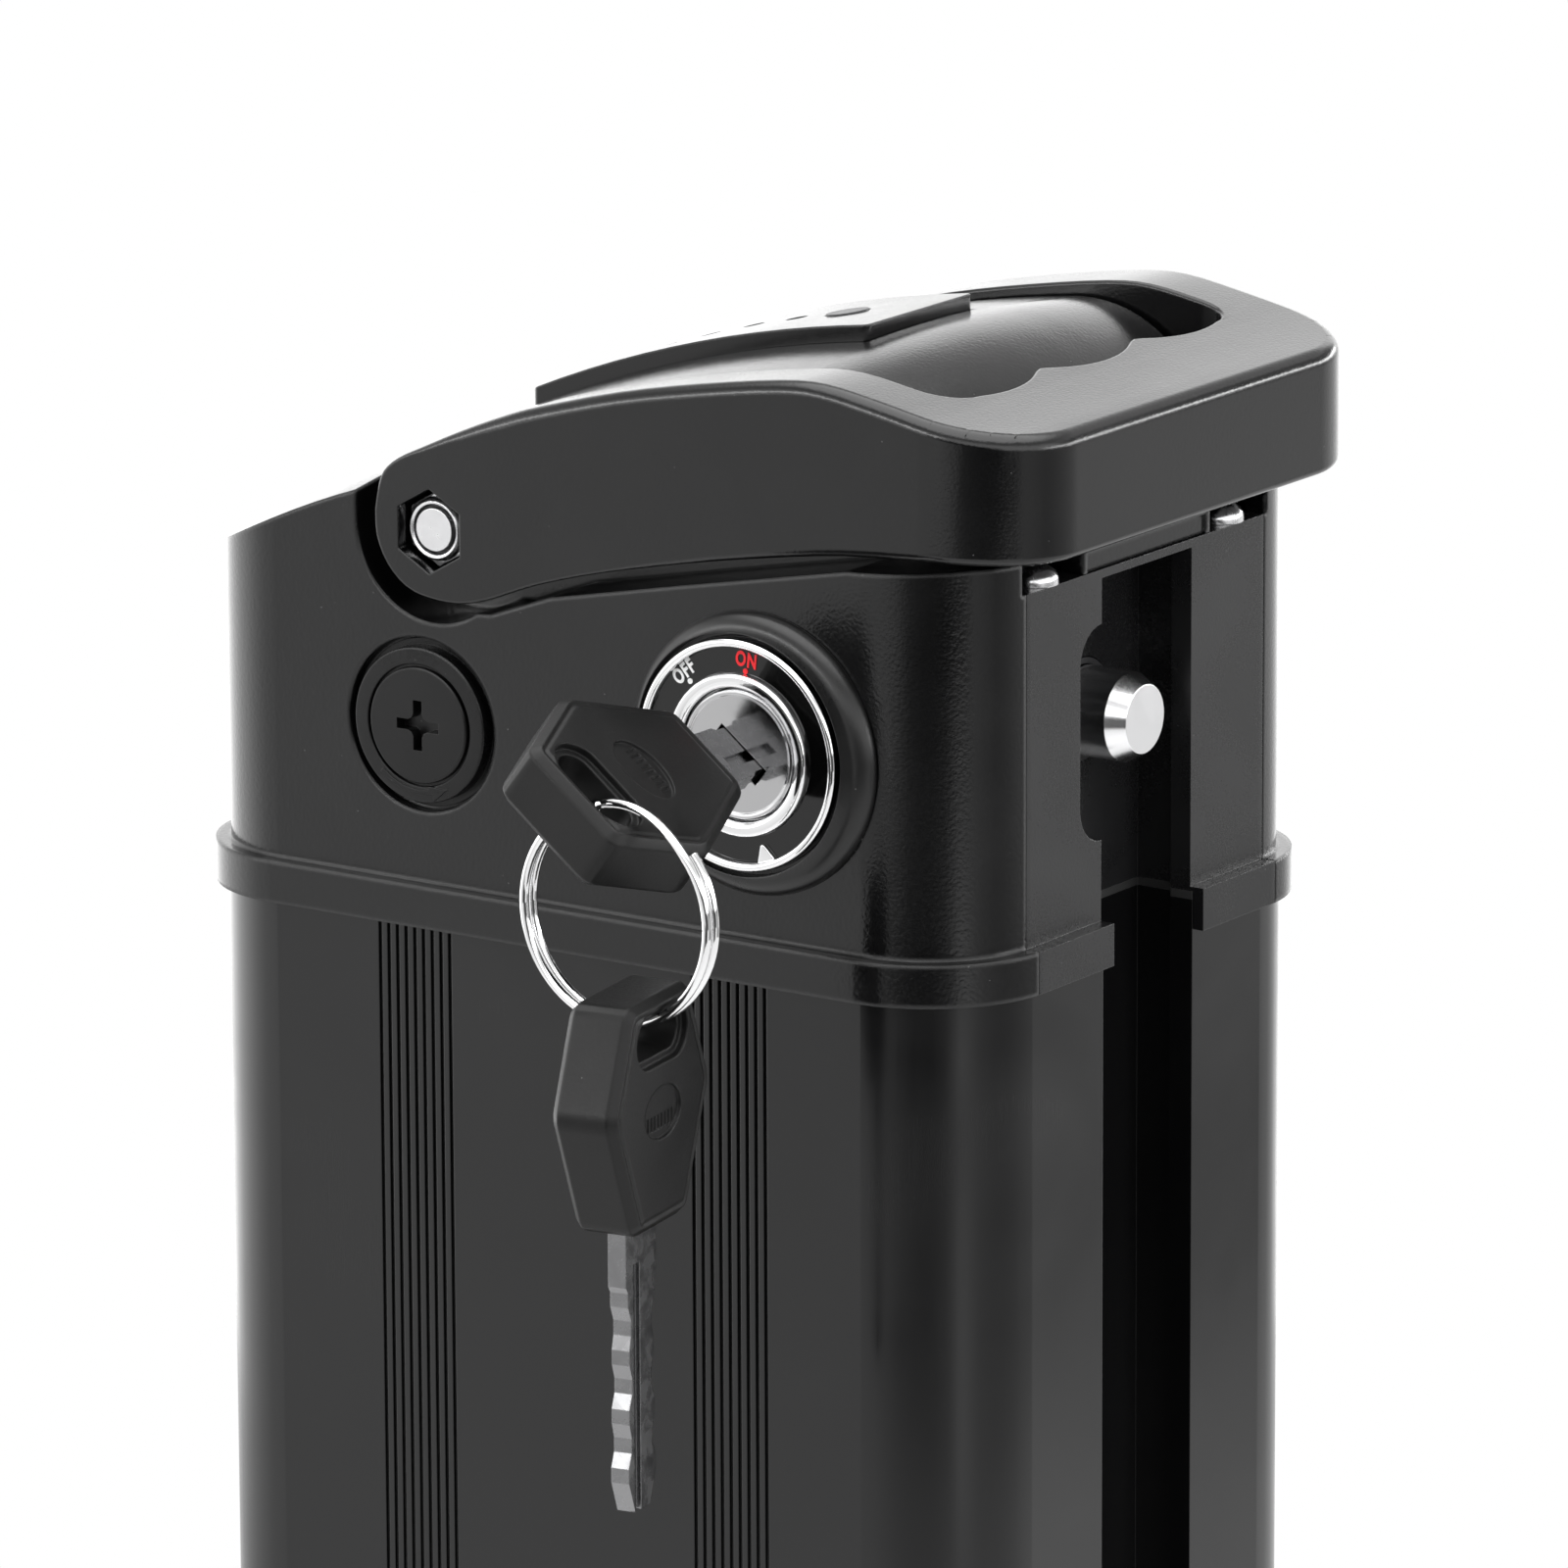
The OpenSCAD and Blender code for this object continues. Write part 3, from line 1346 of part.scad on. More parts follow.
module charge_cover() {
    color([0.06, 0.06, 0.06])
    difference() {
        union() {
            translate([-cap_w / 2 - cap_step / 2, 0, charge_z]) rotate([0, -90, 0]) {
                cylinder(d = flap_d, h = flap_t);
                translate([0, 0, -lip_t]) tube(jack_recess_d - 2 * lip_gap, jack_d + 4 * lip_gap, lip_t + cut / 2);
            }
            // Tongue that reaches the hinge pin between the ears
            translate([-cap_w / 2 - cap_step / 2 - flap_t, 0, charge_z - ear_z + ear_t / 2 + fit])
                cube([flap_t, ear_y, 2 * (ear_z - ear_t / 2 - fit)]);
            translate([-cap_w / 2 - hinge_out, ear_y, charge_z - ear_z + ear_t / 2 + fit])
                cylinder(d = 2 * hinge_d, h = 2 * (ear_z - ear_t / 2 - fit));
        }
        translate([-cap_w / 2 - hinge_out, ear_y, 0]) cylinder(r = hinge_d / 2 + run, h = base_h);
    }
}

module cover_pin() {
    color([0.75, 0.75, 0.76])
    translate([-cap_w / 2 - hinge_out, ear_y, charge_z - ear_z - ear_t / 2])
        cylinder(d = hinge_d, h = 2 * ear_z + ear_t);
}

case();
top_cap();
channel_insert();
insert_screws();
bottom_cap();
bottom_screws();
gasket_top();
gasket_bottom();
handle();
pivot_bolt();
pivot_nut();
pivot_sleeve();
label_plate();
gauge_board();
gauge_lights();
test_button();
lock_bezel();
lock_trim_ring();
lock_dial();
dial_marks();
core_ring();
lock_body();
lock_nut();
switch_block();
lock_core();
lock_cam();
lock_pin();
pin_guide();
latch_frame();
pin_spring();
key_head();
key_blade();
key_ring();
spare_key_head();
spare_key_blade();
fuse_socket();
fuse_cap();
fuse_carrier();
fuse_tube();
fuse_ends();
cells();
cell_holder_front();
cell_holder_rear();
nickel_strips();
end_pads();
bms_board();
bms_parts();
positive_lead();
negative_lead();
discharge_socket();
contact_blades();
charge_socket();
charge_nut();
charge_cover();
cover_pin();

// Gaps between the coils of the ring and of the spring, measured between points this many steps apart
far_steps = 12;
echo(ring_gap = least_gap(ring_path, far_steps) - ring_wire,
     spring_gap = least_gap(spring_path, far_steps) - spring_wire);
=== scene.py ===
import logging
import math
from contextlib import contextmanager
from dataclasses import dataclass
from enum import Enum
from typing import Callable, Iterator, Sequence

import bmesh
import bpy
from mathutils import Matrix, Vector


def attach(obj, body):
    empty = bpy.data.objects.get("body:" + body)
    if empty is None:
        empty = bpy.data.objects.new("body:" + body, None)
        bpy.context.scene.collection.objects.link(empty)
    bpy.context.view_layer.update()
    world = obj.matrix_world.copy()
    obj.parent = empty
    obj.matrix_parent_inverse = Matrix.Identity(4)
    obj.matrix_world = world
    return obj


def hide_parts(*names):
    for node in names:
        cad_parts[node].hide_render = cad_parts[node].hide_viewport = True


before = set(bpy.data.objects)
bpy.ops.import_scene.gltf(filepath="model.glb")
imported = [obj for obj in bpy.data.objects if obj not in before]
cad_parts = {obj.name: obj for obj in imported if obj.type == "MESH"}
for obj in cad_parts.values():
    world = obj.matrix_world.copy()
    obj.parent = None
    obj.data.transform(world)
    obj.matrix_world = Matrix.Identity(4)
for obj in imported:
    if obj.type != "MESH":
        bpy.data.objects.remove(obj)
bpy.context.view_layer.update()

LOG = logging.getLogger("battery")
MM = 0.001
TURN = 2 * math.pi
Flat = tuple[float, float]
Place = tuple[float, float, float]
Colour = tuple[float, float, float]
Socket = bpy.types.NodeSocket


# The bench: modelling by hand

class Plane(Enum):
    """World axes of an outline's two directions and of its thickness."""

    PLAN = ((1, 0, 0), (0, 1, 0), (0, 0, 1))
    SIDE = ((1, 0, 0), (0, 0, 1), (0, 1, 0))

    def matrix(self) -> Matrix:
        """Matrix that lays a drawing made in XY onto this plane."""
        return Matrix(self.value).transposed().to_4x4()


class Join(Enum):
    """How a tool changes the piece it is applied to."""

    CUT = "DIFFERENCE"
    ADD = "UNION"
    KEEP = "INTERSECT"


def clear_selection() -> None:
    """Leave edit mode and deselect every object."""
    if bpy.context.mode != "OBJECT":
        bpy.ops.object.mode_set(mode="OBJECT")
    bpy.ops.object.select_all(action="DESELECT")


def take(piece: bpy.types.Object) -> None:
    """Make piece the one selected and active object."""
    clear_selection()
    piece.select_set(True)
    bpy.context.view_layer.objects.active = piece


@contextmanager
def editing(piece: bpy.types.Object, everything: bool = False) -> Iterator[bpy.types.Object]:
    """Hold piece in edit mode.

    Args:
        piece: The mesh object to edit.
        everything: True to start with all of it selected, False with nothing.
    """
    take(piece)
    bpy.ops.object.mode_set(mode="EDIT")
    bpy.ops.mesh.select_all(action="SELECT" if everything else "DESELECT")
    try:
        yield piece
    finally:
        bpy.ops.object.mode_set(mode="OBJECT")


def pick_faces(piece: bpy.types.Object, wanted: Callable[[Vector, Vector], bool]) -> None:
    """Select, in edit mode, the faces whose centre (mm) and normal pass the test."""
    bpy.ops.mesh.select_mode(type="FACE")
    bpy.ops.mesh.select_all(action="DESELECT")
    mesh = bmesh.from_edit_mesh(piece.data)
    for face in mesh.faces:
        face.select_set(wanted(face.calc_center_median() / MM, face.normal))
    bmesh.update_edit_mesh(piece.data)


def pick_edges(piece: bpy.types.Object, wanted: Callable[[Vector, Vector, Vector], bool],
               sharper: float = 30) -> None:
    """Select, in edit mode, the sharp edges whose middle (mm) and two face normals pass the test.

    Args:
        piece: The object in edit mode.
        wanted: Test of the middle and of the normals, the one that points highest first.
        sharper: Least angle between the two faces, in degrees.
    """
    bpy.ops.mesh.select_mode(type="EDGE")
    bpy.ops.mesh.select_all(action="DESELECT")
    mesh = bmesh.from_edit_mesh(piece.data)
    for edge in mesh.edges:
        if len(edge.link_faces) == 2 and edge.calc_face_angle(0) > math.radians(sharper):
            normals = sorted((face.normal for face in edge.link_faces), key=lambda n: -n.z)
            middle = (edge.verts[0].co + edge.verts[1].co) / (2 * MM)
            edge.select_set(wanted(middle, *normals))
    bmesh.update_edit_mesh(piece.data)


def named(name: str) -> bpy.types.Object:
    """Name the object that was just added and return it."""
    piece = bpy.context.object
    piece.name = piece.data.name = name
    return piece


def place(piece: bpy.types.Object, matrix: Matrix) -> bpy.types.Object:
    """Move piece by matrix (in metres), with its place put into its mesh."""
    take(piece)
    piece.matrix_world = matrix @ piece.matrix_world
    bpy.ops.object.transform_apply(location=True, rotation=True, scale=True)
    if matrix.determinant() < 0:
        with editing(piece, everything=True):
            bpy.ops.mesh.normals_make_consistent(inside=False)
    return piece


def shift(x: float, y: float, z: float) -> Matrix:
    """Matrix that moves by a distance given in millimetres."""
    return Matrix.Translation(Vector((x, y, z)) * MM)


def turn(degrees: float, axis: str) -> Matrix:
    """Matrix that turns about one axis through the origin."""
    return Matrix.Rotation(math.radians(degrees), 4, axis)


def fix(piece: bpy.types.Object, modifier: bpy.types.Modifier) -> None:
    """Apply a modifier of piece."""
    take(piece)
    bpy.ops.object.modifier_apply(modifier=modifier.name)


def combine(piece: bpy.types.Object, tool: bpy.types.Object, how: Join) -> bpy.types.Object:
    """Cut, add or keep piece by tool, and put the tool away.

    Returns:
        The changed piece.
    """
    modifier = piece.modifiers.new("combine", "BOOLEAN")
    modifier.operation = how.value
    modifier.solver = "EXACT"
    modifier.object = tool
    fix(piece, modifier)
    bpy.data.objects.remove(tool)
    return piece


def soften(piece: bpy.types.Object, degrees: float = 32) -> bpy.types.Object:
    """Shade piece smooth, apart from edges sharper than the angle, with its broad faces kept even."""
    take(piece)
    bpy.ops.mesh.customdata_custom_splitnormals_clear()
    bpy.ops.object.shade_smooth_by_angle(angle=math.radians(degrees))
    modifier = piece.modifiers.new("even", "WEIGHTED_NORMAL")
    modifier.keep_sharp = True
    fix(piece, modifier)
    return piece


def ease(piece: bpy.types.Object, width: float, segments: int = 3, degrees: float = 32,
         by_weight: bool = False) -> bpy.types.Object:
    """Round the edges of piece.

    Args:
        piece: The object whose edges are rounded.
        width: Width of the rounding in millimetres.
        segments: Steps across the rounding.
        degrees: Edges sharper than this are rounded.
        by_weight: True to round by the weights that were set in edit mode.

    Returns:
        The changed piece.
    """
    modifier = piece.modifiers.new("ease", "BEVEL")
    modifier.width = width * MM
    modifier.segments = segments
    modifier.limit_method = "WEIGHT" if by_weight else "ANGLE"
    modifier.angle_limit = math.radians(degrees)
    modifier.use_clamp_overlap = not by_weight
    modifier.miter_outer = "MITER_ARC"
    fix(piece, modifier)
    return soften(piece)


def outline_solid(name: str, outline: Sequence[Flat], low: float, high: float,
                  plane: Plane = Plane.PLAN) -> bpy.types.Object:
    """Solid drawn as a flat outline and pulled out along the plane's third axis.

    Args:
        name: Name of the piece.
        outline: Corners of the closed outline, in millimetres.
        low: Where the solid starts along the third axis.
        high: Where it ends.
        plane: Plane that the outline is drawn on.

    Returns:
        The new piece.
    """
    clear_selection()
    bpy.ops.mesh.primitive_circle_add(vertices=len(outline), radius=MM, fill_type="NGON")
    piece = named(name)
    for vertex, (u, v) in zip(piece.data.vertices, outline):
        vertex.co = Vector((u, v, low)) * MM
    with editing(piece, everything=True):
        bpy.ops.mesh.extrude_region_move(TRANSFORM_OT_translate={"value": (0, 0, (high - low) * MM)})
        bpy.ops.mesh.select_all(action="SELECT")
        bpy.ops.mesh.normals_make_consistent(inside=False)
    return place(piece, plane.matrix())


def turned(name: str, profile: Sequence[Flat], steps: int = 96) -> bpy.types.Object:
    """Solid of revolution about local Z, spun from a closed profile of (radius, height).

    Args:
        name: Name of the piece.
        profile: Corners of the profile in millimetres, with radii of zero on the axis.
        steps: Steps in the full turn.

    Returns:
        The new piece, centred on the origin.
    """
    clear_selection()
    bpy.ops.mesh.primitive_circle_add(vertices=len(profile), radius=MM, fill_type="NOTHING")
    piece = named(name)
    for vertex, (radius, height) in zip(piece.data.vertices, profile):
        vertex.co = Vector((radius, 0, height)) * MM
    with editing(piece, everything=True):
        bpy.ops.mesh.spin(steps=steps, angle=TURN, center=(0, 0, 0), axis=(0, 0, 1))
        bpy.ops.mesh.select_all(action="SELECT")
        bpy.ops.mesh.remove_doubles(threshold=0.002 * MM)
        bpy.ops.mesh.dissolve_degenerate(threshold=0.001 * MM)
        bpy.ops.mesh.normals_make_consistent(inside=False)
    return piece


def rod(name: str, radius: float, low: float, high: float, sides: int = 48) -> bpy.types.Object:
    """Round or many-sided bar along local Z, used as a tool or as the start of a piece."""
    clear_selection()
    bpy.ops.mesh.primitive_cylinder_add(vertices=sides, radius=radius * MM, depth=(high - low) * MM,
                                        location=(0, 0, (high + low) / 2 * MM))
    return place(named(name), Matrix.Identity(4))


def rectangle(left: float, low: float, right: float, high: float) -> list[Flat]:
    """Outline of a rectangle from its limits."""
    return [(left, low), (right, low), (right, high), (left, high)]


def arc(centre: Flat, radius: float, start: float, end: float, steps: int = 8) -> list[Flat]:
    """Points on an arc between two angles in degrees, both ends included."""
    angles = (math.radians(start + (end - start) * i / steps) for i in range(steps + 1))
    return [(centre[0] + radius * math.cos(a), centre[1] + radius * math.sin(a)) for a in angles]


def flow(points: Sequence[Flat], steps: int = 3) -> list[Flat]:
    """Points of a smooth open curve through the given ones."""
    curve: list[Flat] = []
    for i in range(len(points) - 1):
        p0, p1, p2, p3 = (Vector(points[min(max(k, 0), len(points) - 1)]) for k in range(i - 1, i + 3))
        for k in range(steps):
            t = k / steps
            spot = 0.5 * (2 * p1 + (p2 - p0) * t + (2 * p0 - 5 * p1 + 4 * p2 - p3) * t ** 2
                          + (3 * p1 - p0 - 3 * p2 + p3) * t ** 3)
            curve.append((spot.x, spot.y))
    return curve + [tuple(points[-1])]


def settle(piece: bpy.types.Object, body: str, slot: str, finish: bpy.types.Material,
           *nodes: str) -> bpy.types.Object:
    """Give a finished piece its material, its body, its slot and the nodes it stands for.

    Args:
        piece: The finished piece.
        body: Body that it rides on.
        slot: Not used.
        finish: Its material.
        nodes: CAD nodes that it replaces.

    Returns:
        The same piece.
    """
    piece.data.materials.clear()
    piece.data.materials.append(finish)
    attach(piece, body)
    if nodes:
        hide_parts(*nodes)
    LOG.info("%s: %d faces, on %s", piece.name, len(piece.data.polygons), body)
    return piece


# Finishes

class Graph:
    """Adds nodes to one node tree and links them."""

    def __init__(self, tree: bpy.types.NodeTree) -> None:
        """Keep the tree to work in."""
        self.tree = tree

    def add(self, kind: str, values: dict | None = None, **settings: object) -> bpy.types.Node:
        """Add a node.

        Args:
            kind: Type of the node, without its ShaderNode prefix.
            values: Sockets by name or number, each with a value or a socket to link.
            settings: Other properties of the node.

        Returns:
            The new node.
        """
        node = self.tree.nodes.new("ShaderNode" + kind)
        for key, value in settings.items():
            setattr(node, key, value)
        for key, value in (values or {}).items():
            if isinstance(value, Socket):
                self.tree.links.new(value, node.inputs[key])
            else:
                node.inputs[key].default_value = value
        return node

    def sum(self, kind: str, first: Socket | float, second: Socket | float = 0.0) -> Socket:
        """Result of a Math node."""
        return self.add("Math", {0: first, 1: second}, operation=kind).outputs[0]

    def spread(self, value: Socket, low: float, high: float, start: float = 0.0, end: float = 1.0) -> Socket:
        """Value carried from start…end to low…high."""
        return self.add("MapRange", {"Value": value, "From Min": start, "From Max": end,
                                     "To Min": low, "To Max": high}).outputs["Result"]

    def mix(self, factor: Socket | float, first: Socket | Colour, second: Socket | Colour) -> Socket:
        """Colour between first and second."""
        pair = {6: first, 7: second}
        values = {k: v if isinstance(v, Socket) else (*v, 1.0) for k, v in pair.items()}
        return self.add("Mix", {0: factor, **values}, data_type="RGBA").outputs[2]

    def noise(self, where: Socket, size: float, detail: float = 2.0, roughness: float = 0.5) -> Socket:
        """Noise with features of about size millimetres."""
        return self.add("TexNoise", {"Vector": where, "Scale": 1 / (size * MM), "Detail": detail,
                                     "Roughness": roughness}).outputs["Fac"]

    def stretched(self, where: Socket, scale: Place) -> Socket:
        """Coordinates stretched by a scale on each axis."""
        return self.add("Mapping", {"Vector": where, "Scale": scale}).outputs["Vector"]


class Effects:
    """Node groups that several finishes use, each built once."""

    made: dict[str, bpy.types.NodeTree] = {}

    @classmethod
    def _start(cls, name: str, numbers: dict[str, float],
               outputs: Sequence[str]) -> tuple[Graph, dict, bpy.types.Node]:
        """Open a new group with a Vector input, number inputs and number outputs."""
        tree = bpy.data.node_groups.new(name, "ShaderNodeTree")
        tree.interface.new_socket("Vector", in_out="INPUT", socket_type="NodeSocketVector")
        for key, value in numbers.items():
            tree.interface.new_socket(key, in_out="INPUT", socket_type="NodeSocketFloat").default_value = value
        for key in outputs:
            tree.interface.new_socket(key, in_out="OUTPUT", socket_type="NodeSocketFloat")
        entry = tree.nodes.new("NodeGroupInput")
        cls.made[name] = tree
        return Graph(tree), entry.outputs, tree.nodes.new("NodeGroupOutput")

    @classmethod
    def grain(cls) -> bpy.types.NodeTree:
        """Moulded leather-like grain: rounded islands with fine noise on them."""
        if "moulded grain" not in cls.made:
            g, given, out = cls._start("moulded grain", {"Size": 0.4}, ["Height", "Mask"])
            scale = g.sum("DIVIDE", 1000.0, given["Size"])
            cells = g.add("TexVoronoi", {"Vector": given["Vector"], "Scale": scale, "Randomness": 1.0},
                          feature="SMOOTH_F1").outputs["Distance"]
            fine = g.add("TexNoise", {"Vector": given["Vector"], "Scale": scale, "Detail": 3.0}).outputs["Fac"]
            height = g.sum("ADD", g.sum("MULTIPLY", cells, -0.7), fine)
            g.tree.links.new(height, out.inputs["Height"])
            g.tree.links.new(g.spread(fine, 0.0, 1.0, 0.35, 0.65), out.inputs["Mask"])
        return cls.made["moulded grain"]

    @classmethod
    def hairlines(cls) -> bpy.types.NodeTree:
        """Fine straight lines along Z of the given coordinates, as drawing or wiping leaves them."""
        if "hairlines" not in cls.made:
            g, given, out = cls._start("hairlines", {"Width": 0.1, "Share": 0.4}, ["Height", "Mask"])
            flat = g.stretched(given["Vector"], (1.0, 1.0, 0.012))
            scale = g.sum("DIVIDE", 1000.0, given["Width"])
            lines = g.add("TexNoise", {"Vector": flat, "Scale": scale, "Detail": 2.0}).outputs["Fac"]
            low = g.sum("SUBTRACT", 1.0, given["Share"])
            mask = g.add("MapRange", {"Value": lines, "From Min": low, "From Max": 1.0, "To Min": 0.0,
                                      "To Max": 1.0}).outputs["Result"]
            g.tree.links.new(lines, out.inputs["Height"])
            g.tree.links.new(mask, out.inputs["Mask"])
        return cls.made["hairlines"]

    @classmethod
    def handling(cls) -> bpy.types.NodeTree:
        """Traces of use: wide cloudy patches of touch, and sparse dust specks."""
        if "handling" not in cls.made:
            g, given, out = cls._start("handling", {"Size": 18.0}, ["Patches", "Specks"])
            scale = g.sum("DIVIDE", 1000.0, given["Size"])
            cloud = g.add("TexNoise", {"Vector": given["Vector"], "Scale": scale, "Detail": 4.0,
                                       "Distortion": 0.6}).outputs["Fac"]
            spots = g.add("TexVoronoi", {"Vector": given["Vector"], "Scale": 700.0}).outputs["Distance"]
            rare = g.noise(given["Vector"], 3.0, 1.0)
            speck = g.sum("MULTIPLY", g.spread(spots, 1.0, 0.0, 0.03, 0.07), g.spread(rare, 0.0, 1.0, 0.60, 0.66))
            g.tree.links.new(g.spread(cloud, 0.0, 1.0, 0.3, 0.7), out.inputs["Patches"])
            g.tree.links.new(speck, out.inputs["Specks"])
        return cls.made["handling"]


@dataclass(frozen=True)
class Finish:
    """What every finish has: a name, a colour, a roughness and the radius that edges look rounded to."""

    name: str
    colour: Colour
    roughness: float = 0.4
    edge: float = 0.25

    def open(self) -> tuple[bpy.types.Material, Graph, bpy.types.Node, Socket]:
        """Start the material.

        Returns:
            The material, its graph, its Principled shader and its object coordinates.
        """
        material = bpy.data.materials.new(self.name)
        material.use_nodes = True
        graph = Graph(material.node_tree)
        shader = material.node_tree.nodes["Principled BSDF"]
        shader.inputs["Base Color"].default_value = (*self.colour, 1.0)
        shader.inputs["Roughness"].default_value = self.roughness
        material.diffuse_color = (*self.colour, 1.0)
        return material, graph, shader, graph.add("TexCoord").outputs["Object"]

    def rounded(self, graph: Graph) -> Socket:
        """Normal with the edges rounded."""
        return graph.add("Bevel", {"Radius": self.edge * MM}, samples=6).outputs["Normal"]

    def use(self, graph: Graph, effect: bpy.types.NodeTree, where: Socket, **numbers: float) -> bpy.types.NodeOutputs:
        """Place one of the shared effects in the material and return its outputs."""
        node = graph.add("Group", node_tree=effect)
        graph.tree.links.new(where, node.inputs["Vector"])
        for key, value in numbers.items():
            node.inputs[key].default_value = value
        return node.outputs

    def finish_off(self, graph: Graph, shader: bpy.types.Node, colour: Socket, roughness: Socket,
                   height: Socket, depth: float) -> None:
        """Link the colour, the roughness and a bump of depth millimetres over the rounded edges."""
        bump = graph.add("Bump", {"Height": height, "Distance": depth * MM, "Strength": 1.0,
                                  "Normal": self.rounded(graph)})
        graph.tree.links.new(colour, shader.inputs["Base Color"])
        graph.tree.links.new(roughness, shader.inputs["Roughness"])
        graph.tree.links.new(bump.outputs["Normal"], shader.inputs["Normal"])


@dataclass(frozen=True)
class Moulded(Finish):
    """Moulded plastic or rubber with grain, touch patches and dust."""

    grain: float = 0.4
    depth: float = 0.012
    touch: float = 0.08
    dust: float = 0.03
    gloss: float = 0.5

    def make(self) -> bpy.types.Material:
        """Build the material."""
        material, g, shader, where = self.open()
        shader.inputs["Specular IOR Level"].default_value = self.gloss
        grain = self.use(g, Effects.grain(), where, Size=self.grain)
        traces = self.use(g, Effects.handling(), where)
        dark = tuple(0.75 * c for c in self.colour)
        tone = g.mix(traces["Patches"], dark, self.colour)
        dusty = g.mix(g.sum("MULTIPLY", traces["Specks"], self.dust * 8), tone, (0.5, 0.5, 0.5))
        rough = g.sum("ADD", g.spread(traces["Patches"], self.roughness - self.touch, self.roughness + self.touch),
                      g.sum("MULTIPLY", grain["Mask"], self.touch))
        self.finish_off(g, shader, dusty, rough, grain["Height"], self.depth)
        return material


@dataclass(frozen=True)
class Drawn(Finish):
    """Drawn or anodised metal with fine lines along Z."""

    metallic: float = 1.0
    line: float = 0.12
    depth: float = 0.002
    spread: float = 0.06

    def make(self) -> bpy.types.Material:
        """Build the material."""
        material, g, shader, where = self.open()
        shader.inputs["Metallic"].default_value = self.metallic
        lines = self.use(g, Effects.hairlines(), where, Width=self.line, Share=0.55)
        traces = self.use(g, Effects.handling(), where, Size=30.0)
        dark = tuple(0.8 * c for c in self.colour)
        tone = g.mix(lines["Mask"], self.colour, dark)
        rough = g.sum("ADD", g.spread(traces["Patches"], self.roughness - self.spread, self.roughness + self.spread),
                      g.sum("MULTIPLY", lines["Mask"], self.spread))
        self.finish_off(g, shader, tone, rough, lines["Height"], self.depth)
        return material


@dataclass(frozen=True)
class Plated(Finish):
    """Bright plated metal with wiping scratches, haze and small dark pits."""

    haze: float = 0.12
    pits: float = 0.1

    def make(self) -> bpy.types.Material:
        """Build the material."""
        material, g, shader, where = self.open()
        shader.inputs["Metallic"].default_value = 1.0
        slanted = g.add("Mapping", {"Vector": where, "Rotation": (0.4, 0.9, 0.2)}).outputs["Vector"]
        lines = self.use(g, Effects.hairlines(), slanted, Width=0.09, Share=0.42)
        traces = self.use(g, Effects.handling(), where, Size=2.2)
        dull = tuple(0.55 * c for c in self.colour)
        tone = g.mix(g.sum("MULTIPLY", traces["Specks"], self.pits), self.colour, dull)
        rough = g.sum("ADD", g.spread(traces["Patches"], self.roughness, self.roughness + self.haze),
                      g.sum("MULTIPLY", lines["Mask"], self.haze))
        self.finish_off(g, shader, tone, rough, lines["Height"], 0.0003)
        return material


@dataclass(frozen=True)
class Turned(Finish):
    """Steel turned about an axis along X, with fine tool rings and faint touch patches."""

    ring: float = 0.14

    def make(self) -> bpy.types.Material:
        """Build the material."""
        material, g, shader, where = self.open()
        shader.inputs["Metallic"].default_value = 1.0
        rings = g.noise(g.stretched(where, (1.0, 0.02, 0.02)), self.ring, 3.0)
        traces = self.use(g, Effects.handling(), where, Size=6.0)
        tone = g.mix(traces["Patches"], tuple(0.93 * c for c in self.colour), self.colour)
        rough = g.sum("ADD", g.spread(rings, self.roughness - 0.05, self.roughness + 0.08),
                      g.sum("MULTIPLY", traces["Patches"], 0.03))
        self.finish_off(g, shader, tone, rough, rings, 0.0006)
        return material


@dataclass(frozen=True)
class Printed(Finish):
    """Flat paint or lens on a panel: nearly even, with a slightly mottled edge."""

    def make(self) -> bpy.types.Material:
        """Build the material."""
        material, g, shader, where = self.open()
        mottle = g.noise(where, 0.25, 3.0)
        tone = g.mix(g.spread(mottle, 0.0, 1.0, 0.35, 0.65), tuple(0.86 * c for c in self.colour), self.colour)
        rough = g.spread(mottle, self.roughness - 0.05, self.roughness + 0.1)
        self.finish_off(g, shader, tone, rough, mottle, 0.003)
        return material


@dataclass(frozen=True)
class Circuit(Finish):
    """Circuit board: solder mask over squared copper areas with tinned pads."""

    def make(self) -> bpy.types.Material:
        """Build the material."""
        material, g, shader, where = self.open()
        areas = g.add("TexVoronoi", {"Vector": where, "Scale": 190.0, "Randomness": 0.8},
                      distance="CHEBYCHEV").outputs["Distance"]
        copper = g.spread(areas, 0.0, 1.0, 0.42, 0.46)
        pads = g.add("TexVoronoi", {"Vector": where, "Scale": 420.0, "Randomness": 0.0}).outputs["Distance"]
        pad = g.spread(pads, 1.0, 0.0, 0.16, 0.19)
        mask = g.mix(copper, self.colour, tuple(0.55 * c for c in self.colour))
        tone = g.mix(pad, mask, (0.55, 0.53, 0.5))
        rough = g.spread(pad, self.roughness, 0.2)
        self.finish_off(g, shader, tone, rough, copper, 0.03)
        return material


@dataclass(frozen=True)
class Wrapped(Finish):
    """Shrunk sleeve on a cell, with faint pull lines along Y and a pale end."""

    def make(self) -> bpy.types.Material:
        """Build the material."""
        material, g, shader, where = self.open()
        pulls = g.noise(g.stretched(where, (1.0, 0.06, 1.0)), 0.8, 3.0)
        traces = self.use(g, Effects.handling(), where, Size=9.0)
        tone = g.mix(g.spread(pulls, 0.0, 1.0, 0.4, 0.6), tuple(0.8 * c for c in self.colour), self.colour)
        rough = g.spread(traces["Patches"], self.roughness - 0.08, self.roughness + 0.12)
        self.finish_off(g, shader, tone, rough, pulls, 0.02)
        return material


